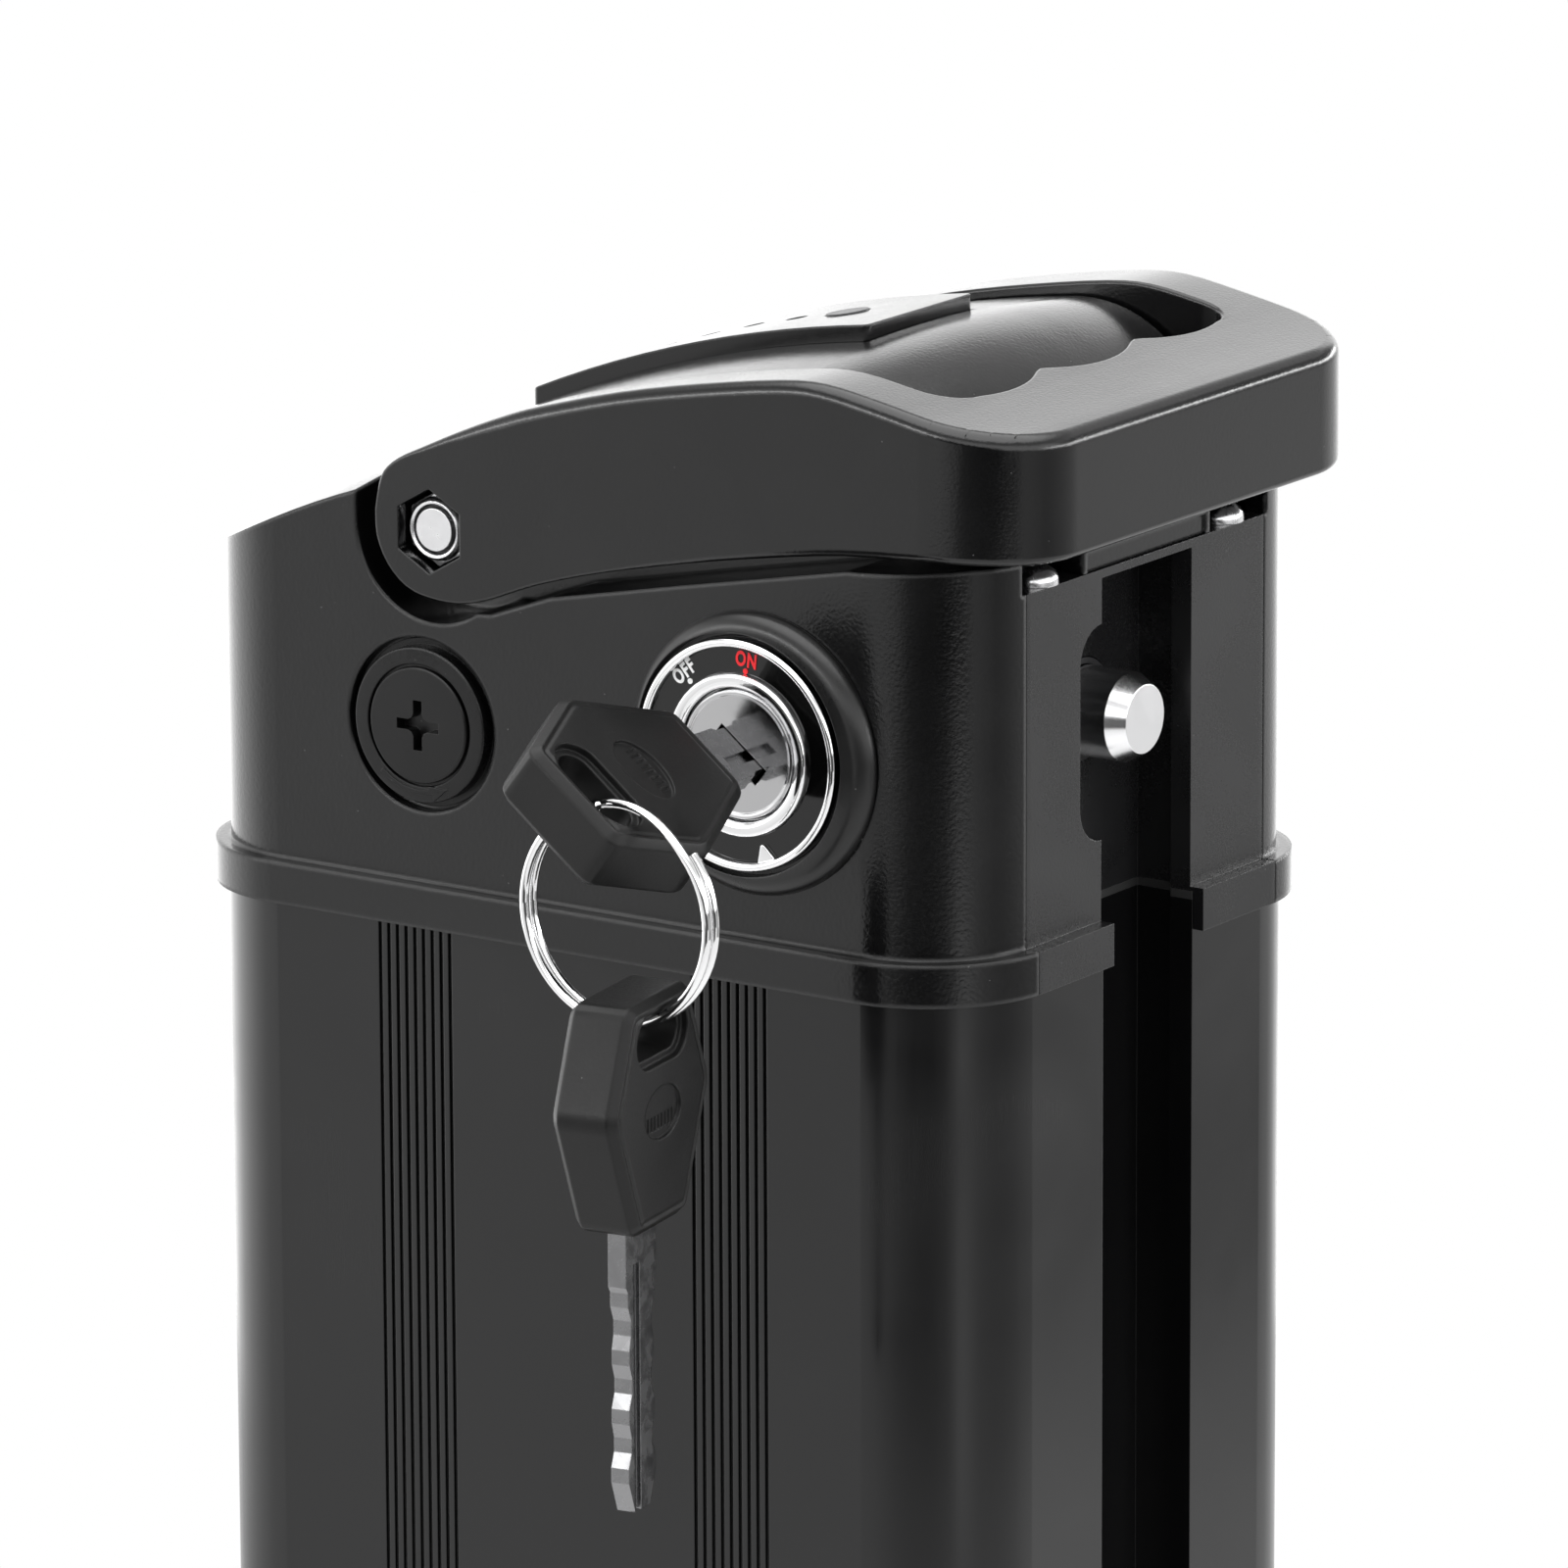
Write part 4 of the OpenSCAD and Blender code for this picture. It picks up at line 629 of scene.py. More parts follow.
@dataclass(frozen=True)
class Foamed(Finish):
    """Open-cell foam: soft pores of several sizes."""

    def make(self) -> bpy.types.Material:
        """Build the material."""
        material, g, shader, where = self.open()
        pores = g.add("TexVoronoi", {"Vector": where, "Scale": 900.0}, feature="F1").outputs["Distance"]
        fine = g.noise(where, 0.5, 4.0, 0.7)
        # Painted shade: the foam's colour is darkened to 0.3 of itself in its pores, where shade falls in the hollows.
        tone = g.mix(g.spread(pores, 0.0, 1.0, 0.1, 0.6), tuple(0.3 * c for c in self.colour), self.colour)
        height = g.sum("ADD", pores, fine)
        self.finish_off(g, shader, tone, g.spread(fine, 0.85, 1.0), height, 0.3)
        return material


@dataclass(frozen=True)
class Glazed(Finish):
    """Clear glass tube of the fuse with a slightly uneven wall."""

    def make(self) -> bpy.types.Material:
        """Build the material."""
        material, g, shader, where = self.open()
        shader.inputs["Transmission Weight"].default_value = 0.9
        shader.inputs["IOR"].default_value = 1.5
        waves = g.noise(where, 3.0, 2.0)
        tone = g.mix(waves, tuple(0.94 * c for c in self.colour), self.colour)
        self.finish_off(g, shader, tone, g.spread(waves, 0.02, 0.08), waves, 0.01)
        return material


class Palette:
    """The finishes of this battery, each made when it is first asked for."""

    BLACK = (0.0035, 0.0035, 0.0037)
    DEEP = (0.003, 0.003, 0.0031)
    SOOT = (0.012, 0.012, 0.012)
    FINISHES = {
        "anodised": Drawn("anodised case", (0.003, 0.003, 0.0032), 0.20, 0.15, metallic=0.0, line=0.14, depth=0.0022),
        "cap": Moulded("cap plastic", BLACK, 0.15, 0.8, grain=0.42, depth=0.016, touch=0.04),
        "insert": Moulded("insert plastic", (0.009, 0.009, 0.0095), 0.26, 0.12, grain=0.36, depth=0.009, touch=0.05),
        "handle": Moulded("handle plastic", BLACK, 0.15, 0.3, grain=0.34, depth=0.013, touch=0.04),
        "bezel": Moulded("bezel plastic", DEEP, 0.30, 0.2, grain=0.5, depth=0.004, touch=0.05),
        "plate": Moulded("plate plastic", DEEP, 0.16, 0.3, grain=0.5, depth=0.002, touch=0.03),
        "dial": Moulded("dial gloss black", (0.002, 0.002, 0.002), 0.06, 0.1, grain=0.9, depth=0.0008, touch=0.02),
        "key": Moulded("key plastic", (0.006, 0.006, 0.006), 0.36, 0.4, grain=0.3, depth=0.008, gloss=0.28),
        "fuse cap": Moulded("fuse cap plastic", DEEP, 0.25, 0.12, grain=0.5, depth=0.004, gloss=0.32),
        "dark": Moulded("dark works plastic", (0.012, 0.012, 0.013), 0.45, 0.2, grain=0.3, depth=0.006),
        "button": Moulded("button plastic", (0.05, 0.05, 0.052), 0.4, 0.3, grain=0.3, depth=0.006),
        "rubber": Moulded("gasket rubber", SOOT, 0.7, 0.2, grain=0.25, depth=0.01),
        "cover": Moulded("charge cover rubber", (0.010, 0.010, 0.010), 0.55, 0.4, grain=0.25, depth=0.008),
        "holder": Moulded("cell holder plastic", (0.03, 0.03, 0.032), 0.5, 0.3, grain=0.4, depth=0.01),
        "chip": Moulded("chip epoxy", SOOT, 0.55, 0.1, grain=0.1, depth=0.004),
        "lead red": Moulded("red lead", (0.45, 0.015, 0.012), 0.45, 0.1, grain=0.6, depth=0.01),
        "lead black": Moulded("black lead", SOOT, 0.45, 0.1, grain=0.6, depth=0.01),
        "chrome": Plated("chrome", (0.86, 0.86, 0.865), 0.035, 0.15, haze=0.05),
        "screw": Plated("screw plating", (0.74, 0.74, 0.75), 0.16, 0.15, haze=0.14),
        "key steel": Plated("key steel", (0.27, 0.27, 0.275), 0.20, 0.15, haze=0.12),
        "core": Plated("core nickel", (0.5, 0.5, 0.505), 0.07, 0.15, haze=0.08),
        "brass": Plated("brass", (0.72, 0.52, 0.22), 0.24, 0.15, haze=0.16),
        "steel": Drawn("zinc steel", (0.56, 0.56, 0.57), 0.34, 0.2, line=0.3, depth=0.004),
        "nickel": Drawn("nickel strip", (0.66, 0.64, 0.6), 0.26, 0.1, line=0.2, depth=0.003),
        "pin": Turned("turned pin", (0.94, 0.94, 0.95), 0.16, 0.15),
        "white mark": Printed("white mark", (0.9, 0.9, 0.9), 0.5, 0.02),
        "red mark": Printed("red mark", (0.85, 0.012, 0.02), 0.5, 0.02),
        "lens": Printed("light lens", (0.16, 0.22, 0.14), 0.2, 0.2),
        "board": Circuit("board", (0.012, 0.09, 0.035), 0.35, 0.1),
        "wrap": Wrapped("cell wrap", (0.02, 0.12, 0.26), 0.35, 0.3),
        "foam": Foamed("foam", (0.05, 0.05, 0.055), 0.95, 0.5),
        "glass": Glazed("fuse glass", (0.95, 0.97, 0.97), 0.05, 0.1),
    }

    def __init__(self) -> None:
        """Start with no material made."""
        self.made: dict[str, bpy.types.Material] = {}

    def get(self, key: str) -> bpy.types.Material:
        """Material of the finish with this key."""
        if key not in self.made:
            self.made[key] = self.FINISHES[key].make()
        return self.made[key]


# Sub-assemblies

@dataclass
class Handle:
    """Swing-up handle with its two arms and the finger grip, on one bolt."""

    palette: Palette
    width: float = 77.0
    arm: float = 9.1
    front: float = 62.0
    corner: float = 13.0
    pivot: Flat = (-18.1, 364.8)
    lobe: float = 18.9
    pitch: float = 19.5
    grip: float = 48.7
    pocket: float = 5.0
    edge: float = 1.6
    soft_least: float = 0.28
    soft_step: float = 0.09
    soft_steps: int = 8
    under: tuple[Flat, ...] = ((-25.9, 366.5), (-25.7, 363.4), (-24.2, 360.2), (-21.5, 357.8), (-18.1, 356.85),
                               (-14.0, 356.75), (-10.0, 357.7), (-5.4, 359.5), (-1.6, 360.8), (6.0, 362.9),
                               (17.5, 365.4), (28.0, 367.3), (38.9, 368.9), (51.0, 369.7), (62.0, 369.2))
    top: tuple[Flat, ...] = ((62.0, 383.7), (56.5, 384.5), (50.4, 385.55), (43.0, 387.0), (36.0, 388.1), (30.0, 387.9),
                             (19.0, 386.2), (8.0, 384.0), (-2.8, 381.1), (-7.9, 379.4), (-13.8, 377.0),
                             (-19.4, 374.4), (-22.56, 372.86), (-24.55, 371.2), (-25.4, 369.07), (-25.9, 366.5))

    def grip_line(self, steps: int = 40) -> list[Flat]:
        """Front edge of the opening, from one arm to the other: three shallow lobes with eased cusps."""
        inner = self.width / 2 - self.arm
        round_r, cusp = 5.0, 0.45
        line: list[Flat] = []
        for i in range(steps + 1):
            y = (inner - round_r) * (1 - 2 * i / steps)
            reach = 0.0
            for k in (-1, 0, 1):
                gap = max(self.lobe ** 2 - (y - k * self.pitch) ** 2, 1.0)
                reach += math.exp((self.grip - self.lobe + math.sqrt(gap)) / cusp)
            line.append((cusp * math.log(reach), y))
        first, last = line[0], line[-1]
        return (arc((first[0] - round_r, inner - round_r), round_r, 90, 0, 6)[:-1] + line
                + arc((last[0] - round_r, round_r - inner), round_r, 0, -90, 6)[1:])

    def plan(self) -> list[Flat]:
        """Outline from above."""
        half, inner, rear = self.width / 2, self.width / 2 - self.arm, -30.0
        at = self.front - self.corner
        outer = (arc((at, self.corner - half), self.corner, -90, 0, 14)
                 + arc((at, half - self.corner), self.corner, 0, 90, 14))
        return [(rear, -half), *outer, (rear, half), (rear, inner), *self.grip_line(), (rear, -inner)]

    def build(self) -> bpy.types.Object:
        """Model the handle.

        Returns:
            The finished piece.
        """
        side = flow(self.under[:-1]) + [self.under[-1]] + flow(self.top)[:-1]
        piece = outline_solid("swing_handle", side, -self.width / 2 - 1, self.width / 2 + 1, Plane.SIDE)
        combine(piece, outline_solid("plan_tool", self.plan(), 340, 400), Join.KEEP)
        x, z = self.pivot
        for way in (-1, 1):
            hexagon = rod("pocket_tool", self.pocket, 0, self.pocket + 1, 6)
            place(hexagon, shift(x, way * (self.width / 2 - self.pocket), z) @ turn(-90 * way, "X"))
            combine(piece, hexagon, Join.CUT)
        bore = place(rod("bore_tool", 2.56, -50, 50, 32), shift(x, 0, z) @ turn(90, "X"))
        combine(piece, bore, Join.CUT)
        with editing(piece, everything=True):
            bpy.ops.mesh.dissolve_limited(angle_limit=math.radians(0.2))
            for level in range(self.soft_steps + 1):
                pick_edges(piece, lambda at, high, low, level=level: self.softness(at, high, low) == level)
                bpy.ops.transform.edge_bevelweight(value=self.soft_least + self.soft_step * level)
        return ease(piece, self.edge, 5, by_weight=True)

    def softness(self, at: Vector, high: Vector, low: Vector) -> int:
        """Step of rounding that an edge gets; it changes a little from edge to edge, so that no corner runs out.

        Args:
            at: Middle of the edge.
            high: Normal of its higher face.
            low: Normal of its lower face.

        Returns:
            The last step along the top's outer edge, fewer below and behind the pivot, 0 elsewhere, and -1, which
            stands for no rounding, in the pockets.
        """
        x, z = self.pivot
        if math.hypot(at.x - x, at.z - z) < self.pocket + 0.3:
            return -1
        outside = abs(at.y) > self.width / 2 - 0.6 * self.arm or (at.x > self.grip + 1 and low.x > -0.2)
        if outside and low.z < -0.5 and abs(high.z) < 0.3:
            return min(max(round((at.x - 6) / 6), 0), self.soft_steps // 2)
        if high.z < 0.6 or abs(low.z) > 0.4 or not outside:
            return 0
        return min(max(round((at.x + 20) / 1.5), 0), self.soft_steps)

    def nut(self) -> bpy.types.Object:
        """Lock nut in the near pocket: hexagon with a round collar over the bolt's end."""
        piece = rod("pivot_lock_nut", 4.6, 0, 3.1, 6)
        ease(piece, 0.3, 2)
        profile = [(2.9, 1.0), (3.75, 1.0), (3.75, 3.3), (3.6, 3.75), (3.3, 4.0), (3.0, 3.85), (2.9, 3.5)]
        collar = turned("collar", profile, 48)
        combine(piece, collar, Join.ADD)
        combine(piece, rod("bolt_tool", 2.5, -1, 5, 40), Join.CUT)
        combine(piece, rod("seat_tool", 2.95, 2.4, 5, 40), Join.CUT)
        return self.in_pocket(soften(piece))

    def insert(self) -> bpy.types.Object:
        """Dark nylon ring inside the nut's collar."""
        profile = [(2.5, 2.4), (2.92, 2.4), (2.92, 3.2), (2.85, 3.3), (2.57, 3.3), (2.5, 3.2)]
        return self.in_pocket(soften(turned("nut_nylon_ring", profile, 48)))

    def in_pocket(self, piece: bpy.types.Object) -> bpy.types.Object:
        """Put a piece of the nut on the floor of the near pocket."""
        x, z = self.pivot
        return place(piece, shift(x, self.pocket - self.width / 2, z) @ turn(90, "X"))

    def dress(self) -> None:
        """Build the pieces and give them their finishes."""
        settle(self.build(), "handle", "handle_plastic", self.palette.get("handle"), "handle")
        settle(self.nut(), "handle", "steel", self.palette.get("screw"), "pivot_nut")
        settle(self.insert(), "handle", "steel", self.palette.get("dark"))


@dataclass
class Key:
    """Key head with its chamfered faces, ring slot and oval recess, and where the two keys are."""

    palette: Palette
    length: float = 26.5
    width: float = 25.0
    thick: float = 8.0
    bevel: float = 1.0
    slot_at: float = 21.8
    slot: Flat = (11.0, 4.4)
    oval_at: float = 13.2
    oval: Flat = (9.0, 6.0)
    blade: Flat = (7.5, 2.2)
    shares: tuple[Flat, ...] = ((0.25, 0.0), (0.5, 0.545), (0.295, 1.0))
    lock: Place = (25.6, -37.7, 344.7)
    ring: Place = (30.65, -70.0, 333.5)
    ring_r: float = 12.35
    wire_r: float = 0.55
    coil_gap: float = 0.775
    lock_turn: float = 142.0
    stand_off: float = 10.5
    spare_at: float = -78.0
    spare_yaw: float = 9.0
    spare_slide: float = 2.2
    hang: float = 0.5

    def outline(self) -> list[Flat]:
        """Outline of the head, with its six corners rounded."""
        right = [Vector((w * self.width, u * self.length)) for w, u in self.shares]
        corners = right + [Vector((-p.x, p.y)) for p in reversed(right)]
        line: list[Flat] = []
        for i, corner in enumerate(corners):
            start = corner + 1.5 * (corners[i - 1] - corner).normalized()
            end = corner + 1.5 * (corners[(i + 1) % len(corners)] - corner).normalized()
            for t in (0.0, 0.33, 0.67, 1.0):
                spot = start * (1 - t) ** 2 + corner * 2 * t * (1 - t) + end * t ** 2
                line.append((spot.x, spot.y))
        return line

    def stadium(self, grow: float) -> list[Flat]:
        """Outline of the ring slot, grown all round."""
        half, r = (self.slot[0] - self.slot[1]) / 2, self.slot[1] / 2 + grow
        right = arc((half, self.slot_at), r, -90, 90, 12)
        return right + arc((-half, self.slot_at), r, 90, 270, 12)

    def head(self, name: str) -> bpy.types.Object:
        """Model a head with its shoulder at y = 0 and its faces along Z.

        Args:
            name: Name of the piece.

        Returns:
            The head, at the origin.
        """
        half = self.thick / 2
        piece = outline_solid(name, self.outline(), -half, half)
        with editing(piece):
            pick_edges(piece, lambda at, high, low: abs(abs(at.z) - half) < 0.01)
            bpy.ops.mesh.bevel(offset=self.bevel * MM, segments=1, affect="EDGES")
            for side in (1, -1):
                pick_faces(piece, lambda at, normal, side=side: side * normal.z > 0.99)
                bpy.ops.mesh.inset(thickness=0.55 * MM, depth=-0.22 * MM)
                bpy.ops.mesh.inset(thickness=0.3 * MM, depth=0.22 * MM)
        ease(piece, 0.25, 2, 30)
        combine(piece, outline_solid("slot_tool", self.stadium(0), -half - 1, half + 1), Join.CUT)
        for side in (1, -1):
            low, high = sorted((side * (half - 0.9), side * (half + 1)))
            combine(piece, outline_solid("rim_tool", self.stadium(0.9), low, high), Join.CUT)
            low, high = sorted((side * (half - 0.4), side * (half + 1)))
            a, b = self.oval[0] / 2, self.oval[1] / 2
            ring = [(a * math.cos(TURN * i / 40), self.oval_at + b * math.sin(TURN * i / 40)) for i in range(40)]
            combine(piece, outline_solid("oval_tool", ring, low, high), Join.CUT)
            for i in range(8):
                x, y = (i - 3.5) * 0.85, self.oval_at - 1.1
                rib = outline_solid("rib_tool", rectangle(x - 0.2, y - 0.8, x + 0.2, y + 0.8),
                                    *sorted((side * (half - 0.6), side * (half + 0.05))))
                combine(piece, rib, Join.CUT)
        wide, thick = self.blade[0] / 2, self.blade[1] / 2
        grip = outline_solid("blade_tool", rectangle(-wide, -1, wide, 8), -thick, thick)
        combine(piece, grip, Join.CUT)
        return soften(piece, 22)

    def split_ring(self) -> bpy.types.Object:
        """Split ring of two coils side by side, as a wire along its path."""
        curve = bpy.data.curves.new("split_ring", "CURVE")
        curve.dimensions = "3D"
        curve.bevel_depth = self.wire_r * MM
        curve.bevel_resolution = 4
        curve.use_fill_caps = True
        spline = curve.splines.new("POLY")
        steps = 132
        x, y, z = self.ring
        spline.points.add(steps)
        for i, point in enumerate(spline.points):
            a = 660 * i / steps
            jog = -1 if a < 300 else 1 if a > 360 else -math.cos(math.radians((a - 300) * 3))
            spot = (x + self.ring_r * math.cos(math.radians(a + 100)), y + self.coil_gap * jog,
                    z + self.ring_r * math.sin(math.radians(a + 100)))
            point.co = (*(c * MM for c in spot), 1)
        piece = bpy.data.objects.new("split_ring", curve)
        bpy.context.scene.collection.objects.link(piece)
        take(piece)
        bpy.ops.object.convert(target="MESH")
        piece = named("split_ring")
        with editing(piece, everything=True):
            bpy.ops.mesh.remove_doubles(threshold=0.001 * MM)
        return soften(piece, 40)

    def dress(self) -> None:
        """Build both heads and the ring, and give them their finishes."""
        in_lock = (shift(*self.lock) @ turn(90, "X") @ turn(self.lock_turn, "Z") @ shift(0, 0, self.stand_off)
                   @ turn(90, "X"))
        a = math.radians(self.spare_at)
        x, y, z = self.ring
        on_ring = (shift(x + self.ring_r * math.cos(a), y, z + self.ring_r * math.sin(a) - self.hang)
                   @ turn(self.spare_yaw, "Z") @ turn(90, "Z") @ turn(90, "X")
                   @ shift(-self.spare_slide, -self.slot_at, 0))
        key = self.palette.get("key")
        settle(place(self.head("lock_key_head"), in_lock), "key", "key_plastic", key, "key_head")
        settle(place(self.head("second_key_head"), on_ring), "spare_key", "key_plastic", key, "spare_key_head")
        settle(self.split_ring(), "ring", "chrome", self.palette.get("chrome"), "key_ring")


@dataclass
class LockFront:
    """Everything seen of the lock but its dial: bezel, trim ring, marks, inner ring and core."""

    palette: Palette
    at: Place = (25.6, -37.7, 344.7)
    bezel_r: float = 16.4
    bezel_shift: float = 1.2
    trim_r: float = 13.45
    band: float = 1.05
    ring_r: float = 9.45
    core_r: float = 7.5
    key_turn: float = 142.0

    def on_face(self) -> Matrix:
        """Matrix that lays local XY on the wide face, with local Z pointing out of it."""
        return shift(*self.at) @ turn(90, "X")

    def bezel(self) -> bpy.types.Object:
        """Broad domed ring, a little off the lock's axis, with a dark gap round the trim ring."""
        r = self.bezel_r
        dome = [(0.0, 0.0), (r, 0.0), (r, 0.35), (r - 0.12, 0.85), (r - 0.4, 1.3), (r - 0.85, 1.7), (r - 1.3, 1.98),
                (r - 1.7, 2.12), (r - 2.1, 2.16), (0.0, 2.16)]
        piece = place(turned("lock_bezel_dome", dome, 120), shift(self.bezel_shift, 0, 0))
        combine(piece, rod("gap_tool", self.trim_r + 0.6, 0.5, 4, 120), Join.CUT)
        combine(piece, rod("trim_tool", self.trim_r + 0.04, -1, 4, 120), Join.CUT)
        return place(ease(piece, 0.12, 2, 40), self.on_face())

    def trim(self) -> bpy.types.Object:
        """Bright ring with a rounded crown and the arrowhead that points inwards at its foot."""
        outer, inner = self.trim_r, self.trim_r - self.band
        profile = [(outer, 0.0), (outer, 2.15), (outer - 0.14, 2.42), (outer - 0.38, 2.58), (inner + 0.38, 2.58),
                   (inner + 0.14, 2.44), (inner, 2.1), (inner, 0.0)]
        piece = turned("lock_trim", profile, 120)
        tip = outline_solid("arrow_tool", [(-1.4, -inner - 0.3), (1.4, -inner - 0.3), (0.2, -inner + 1.9),
                                           (-0.2, -inner + 1.9)], 1.7, 2.2)
        ease(tip, 0.15, 2)
        combine(piece, place(tip, turn(18.4, "Z")), Join.ADD)
        return place(soften(piece, 40), self.on_face())

    def inner_ring(self) -> bpy.types.Object:
        """Bright ring round the core."""
        outer, inner = self.ring_r, self.core_r + 0.2
        profile = [(outer, 0.9), (outer, 2.1), (outer - 0.15, 2.4), (outer - 0.45, 2.55), (inner + 0.5, 2.5),
                   (inner + 0.2, 2.3), (inner, 1.9), (inner, 0.9)]
        return place(soften(turned("lock_inner_ring", profile, 96), 40), self.on_face())

    def core(self) -> bpy.types.Object:
        """Turning core with a raised rim, a bare face, the key's slot and its tail."""
        r = self.core_r
        profile = [(0.0, -31.6), (3.0, -31.6), (3.0, -29.0), (r, -29.0), (r, 1.75), (r - 0.12, 1.95), (r - 0.35, 2.0),
                   (r - 0.6, 1.94), (r - 0.75, 1.8), (0.0, 1.8)]
        piece = turned("lock_core_plug", profile, 96)
        slot = outline_solid("slot_tool", rectangle(-3.85, -1.2, 3.85, 1.2), -23.6, 3)
        combine(piece, place(slot, turn(self.key_turn, "Z")), Join.CUT)
        return place(soften(piece, 25), self.on_face())

    def word(self, text: str, angle: float, out: float) -> bpy.types.Object:
        """A word on the dial with its top pointing outwards, and the dot below it.

        Args:
            text: The word.
            angle: Where it stands round the dial, in degrees.
            out: Distance of its foot from the dial's centre.

        Returns:
            Word and dot as one mesh on the dial.
        """
        clear_selection()
        bpy.ops.object.text_add()
        letters = named("word")
        letters.data.body = text
        letters.data.size = 2.6 * MM
        letters.data.align_x = "CENTER"
        letters.data.offset = 0.09 * MM
        letters.data.space_character = 1.16
        letters.data.extrude = 0.04 * MM
        take(letters)
        bpy.ops.object.convert(target="MESH")
        letters = bpy.context.object
        place(letters, shift(0, out, 1.76) @ Matrix.Diagonal((0.66, 0.9, 1, 1)))
        dot = rod("dot", 0.33, 1.7, 1.8, 24)
        place(dot, shift(0, out - 0.55, 0))
        clear_selection()
        dot.select_set(True)
        letters.select_set(True)
        bpy.context.view_layer.objects.active = letters
        bpy.ops.object.join()
        piece = bpy.context.object
        piece.name = piece.data.name = "dial_word_" + text.lower()
        return place(piece, self.on_face() @ turn(angle - 90, "Z"))

    def dress(self) -> None:
        """Build the pieces and give them their finishes."""
        chrome = self.palette.get("chrome")
        settle(self.bezel(), "battery", "dial_black", self.palette.get("bezel"), "lock_bezel")
        settle(self.trim(), "battery", "chrome", chrome, "lock_trim_ring")
        settle(self.inner_ring(), "battery", "chrome", chrome, "core_ring")
        settle(self.core(), "lock_core", "chrome", self.palette.get("core"), "lock_core")
        settle(self.word("OFF", 131.0, 10.65), "battery", "mark_paint", self.palette.get("white mark"), "dial_marks")
        settle(self.word("ON", 84.4, 10.35), "battery", "mark_paint", self.palette.get("red mark"))


@dataclass
class FuseCap:
    """Fuse cap with its groove, cross slot and raised turning arrow."""

    palette: Palette
    at: Place = (-20.0, -37.7, 341.7)
    radius: float = 9.15
    foot: float = 9.9
    groove_r: float = 6.9

    def cross(self) -> list[Flat]:
        """Outline of the cross slot with its inner corners filled."""
        arm, half, fill = 2.95, 0.62, 0.75
        quarter = [(arm, -half), (arm, half), (half + fill, half), (half + 0.25, half + 0.25), (half, half + fill)]
        return [(x * c - y * s, x * s + y * c) for c, s in ((1, 0), (0, 1), (-1, 0), (0, -1)) for x, y in quarter]

    def arrow(self) -> bpy.types.Object:
        """Raised arrow along the lower rim."""
        low, high = 7.55, 8.15
        head = [(2.1, -8.75), (3.95, -7.15), (1.45, -6.98)]
        bent = arc((0, 0), high, 228, 284, 14) + head + arc((0, 0), low, 280, 228, 14)
        piece = outline_solid("arrow", bent, 0.2, 0.78)
        return ease(piece, 0.1, 2)

    def build(self) -> bpy.types.Object:
        """Model the cap.

        Returns:
            The finished piece.
        """
        g, r = self.groove_r, self.radius
        profile = [(0.0, -1.5), (self.foot, -1.5), (self.foot, -1.35), (r, -1.35), (r, 0.35), (r - 0.1, 0.5),
                   (r - 0.3, 0.58), (g + 0.42, 0.58), (g + 0.32, 0.5), (g + 0.3, 0.0), (g - 0.05, 0.0),
                   (g - 0.08, 0.62), (g - 0.2, 0.76), (g - 0.4, 0.8), (0.0, 0.8)]
        piece = turned("fuse_cap_face", profile, 120)
        combine(piece, outline_solid("cross_tool", self.cross(), -0.8, 2), Join.CUT)
        combine(piece, self.arrow(), Join.ADD)
        return place(soften(piece), shift(*self.at) @ turn(90, "X"))

    def dress(self) -> None:
        """Build the cap and give it its finish."""
        settle(self.build(), "fuse_cap", "fuse_plastic", self.palette.get("fuse cap"), "fuse_cap")


@dataclass
class InsertScrews:
    """The two pan-head screws of the channel insert."""

    palette: Palette
    at: Place = (52.0, 19.4, 364.0)
    head: Flat = (5.8, 2.4)
    shank: Flat = (3.0, 12.0)

    def screw(self, name: str) -> bpy.types.Object:
        """Model one screw with a cross recess, its head's seat at the origin."""
        r, h = self.head[0] / 2, self.head[1]
        rim = 0.5
        dome = [(r * math.sin(math.radians(a)), rim + (h - rim) * math.cos(math.radians(a)))
                for a in range(90, 0, -10)]
        profile = [(0.0, -self.shank[1]), (self.shank[0] / 2 - 0.4, -self.shank[1]),
                   (self.shank[0] / 2, -self.shank[1] + 0.6), (self.shank[0] / 2, 0.0), (r, 0.0), *dome, (0.0, h)]
        piece = turned(name, profile, 48)
        for way in (0, 90):
            wedge = [(-1.6, h + 1), (1.6, h + 1), (0.8, h - 1.5), (-0.8, h - 1.5)]
            blade = outline_solid("recess_tool", wedge, -0.38, 0.38, Plane.SIDE)
            combine(piece, place(blade, turn(way + 20, "Z")), Join.CUT)
        return soften(piece)

    def dress(self) -> None:
        """Build both screws and give them their finish."""
        plating = self.palette.get("screw")
        near = place(self.screw("insert_screw_near"), shift(self.at[0], -self.at[1], self.at[2]))
        far = place(self.screw("insert_screw_far"), shift(*self.at))
        settle(near, "battery", "chrome", plating, "insert_screws")
        settle(far, "battery", "chrome", plating)


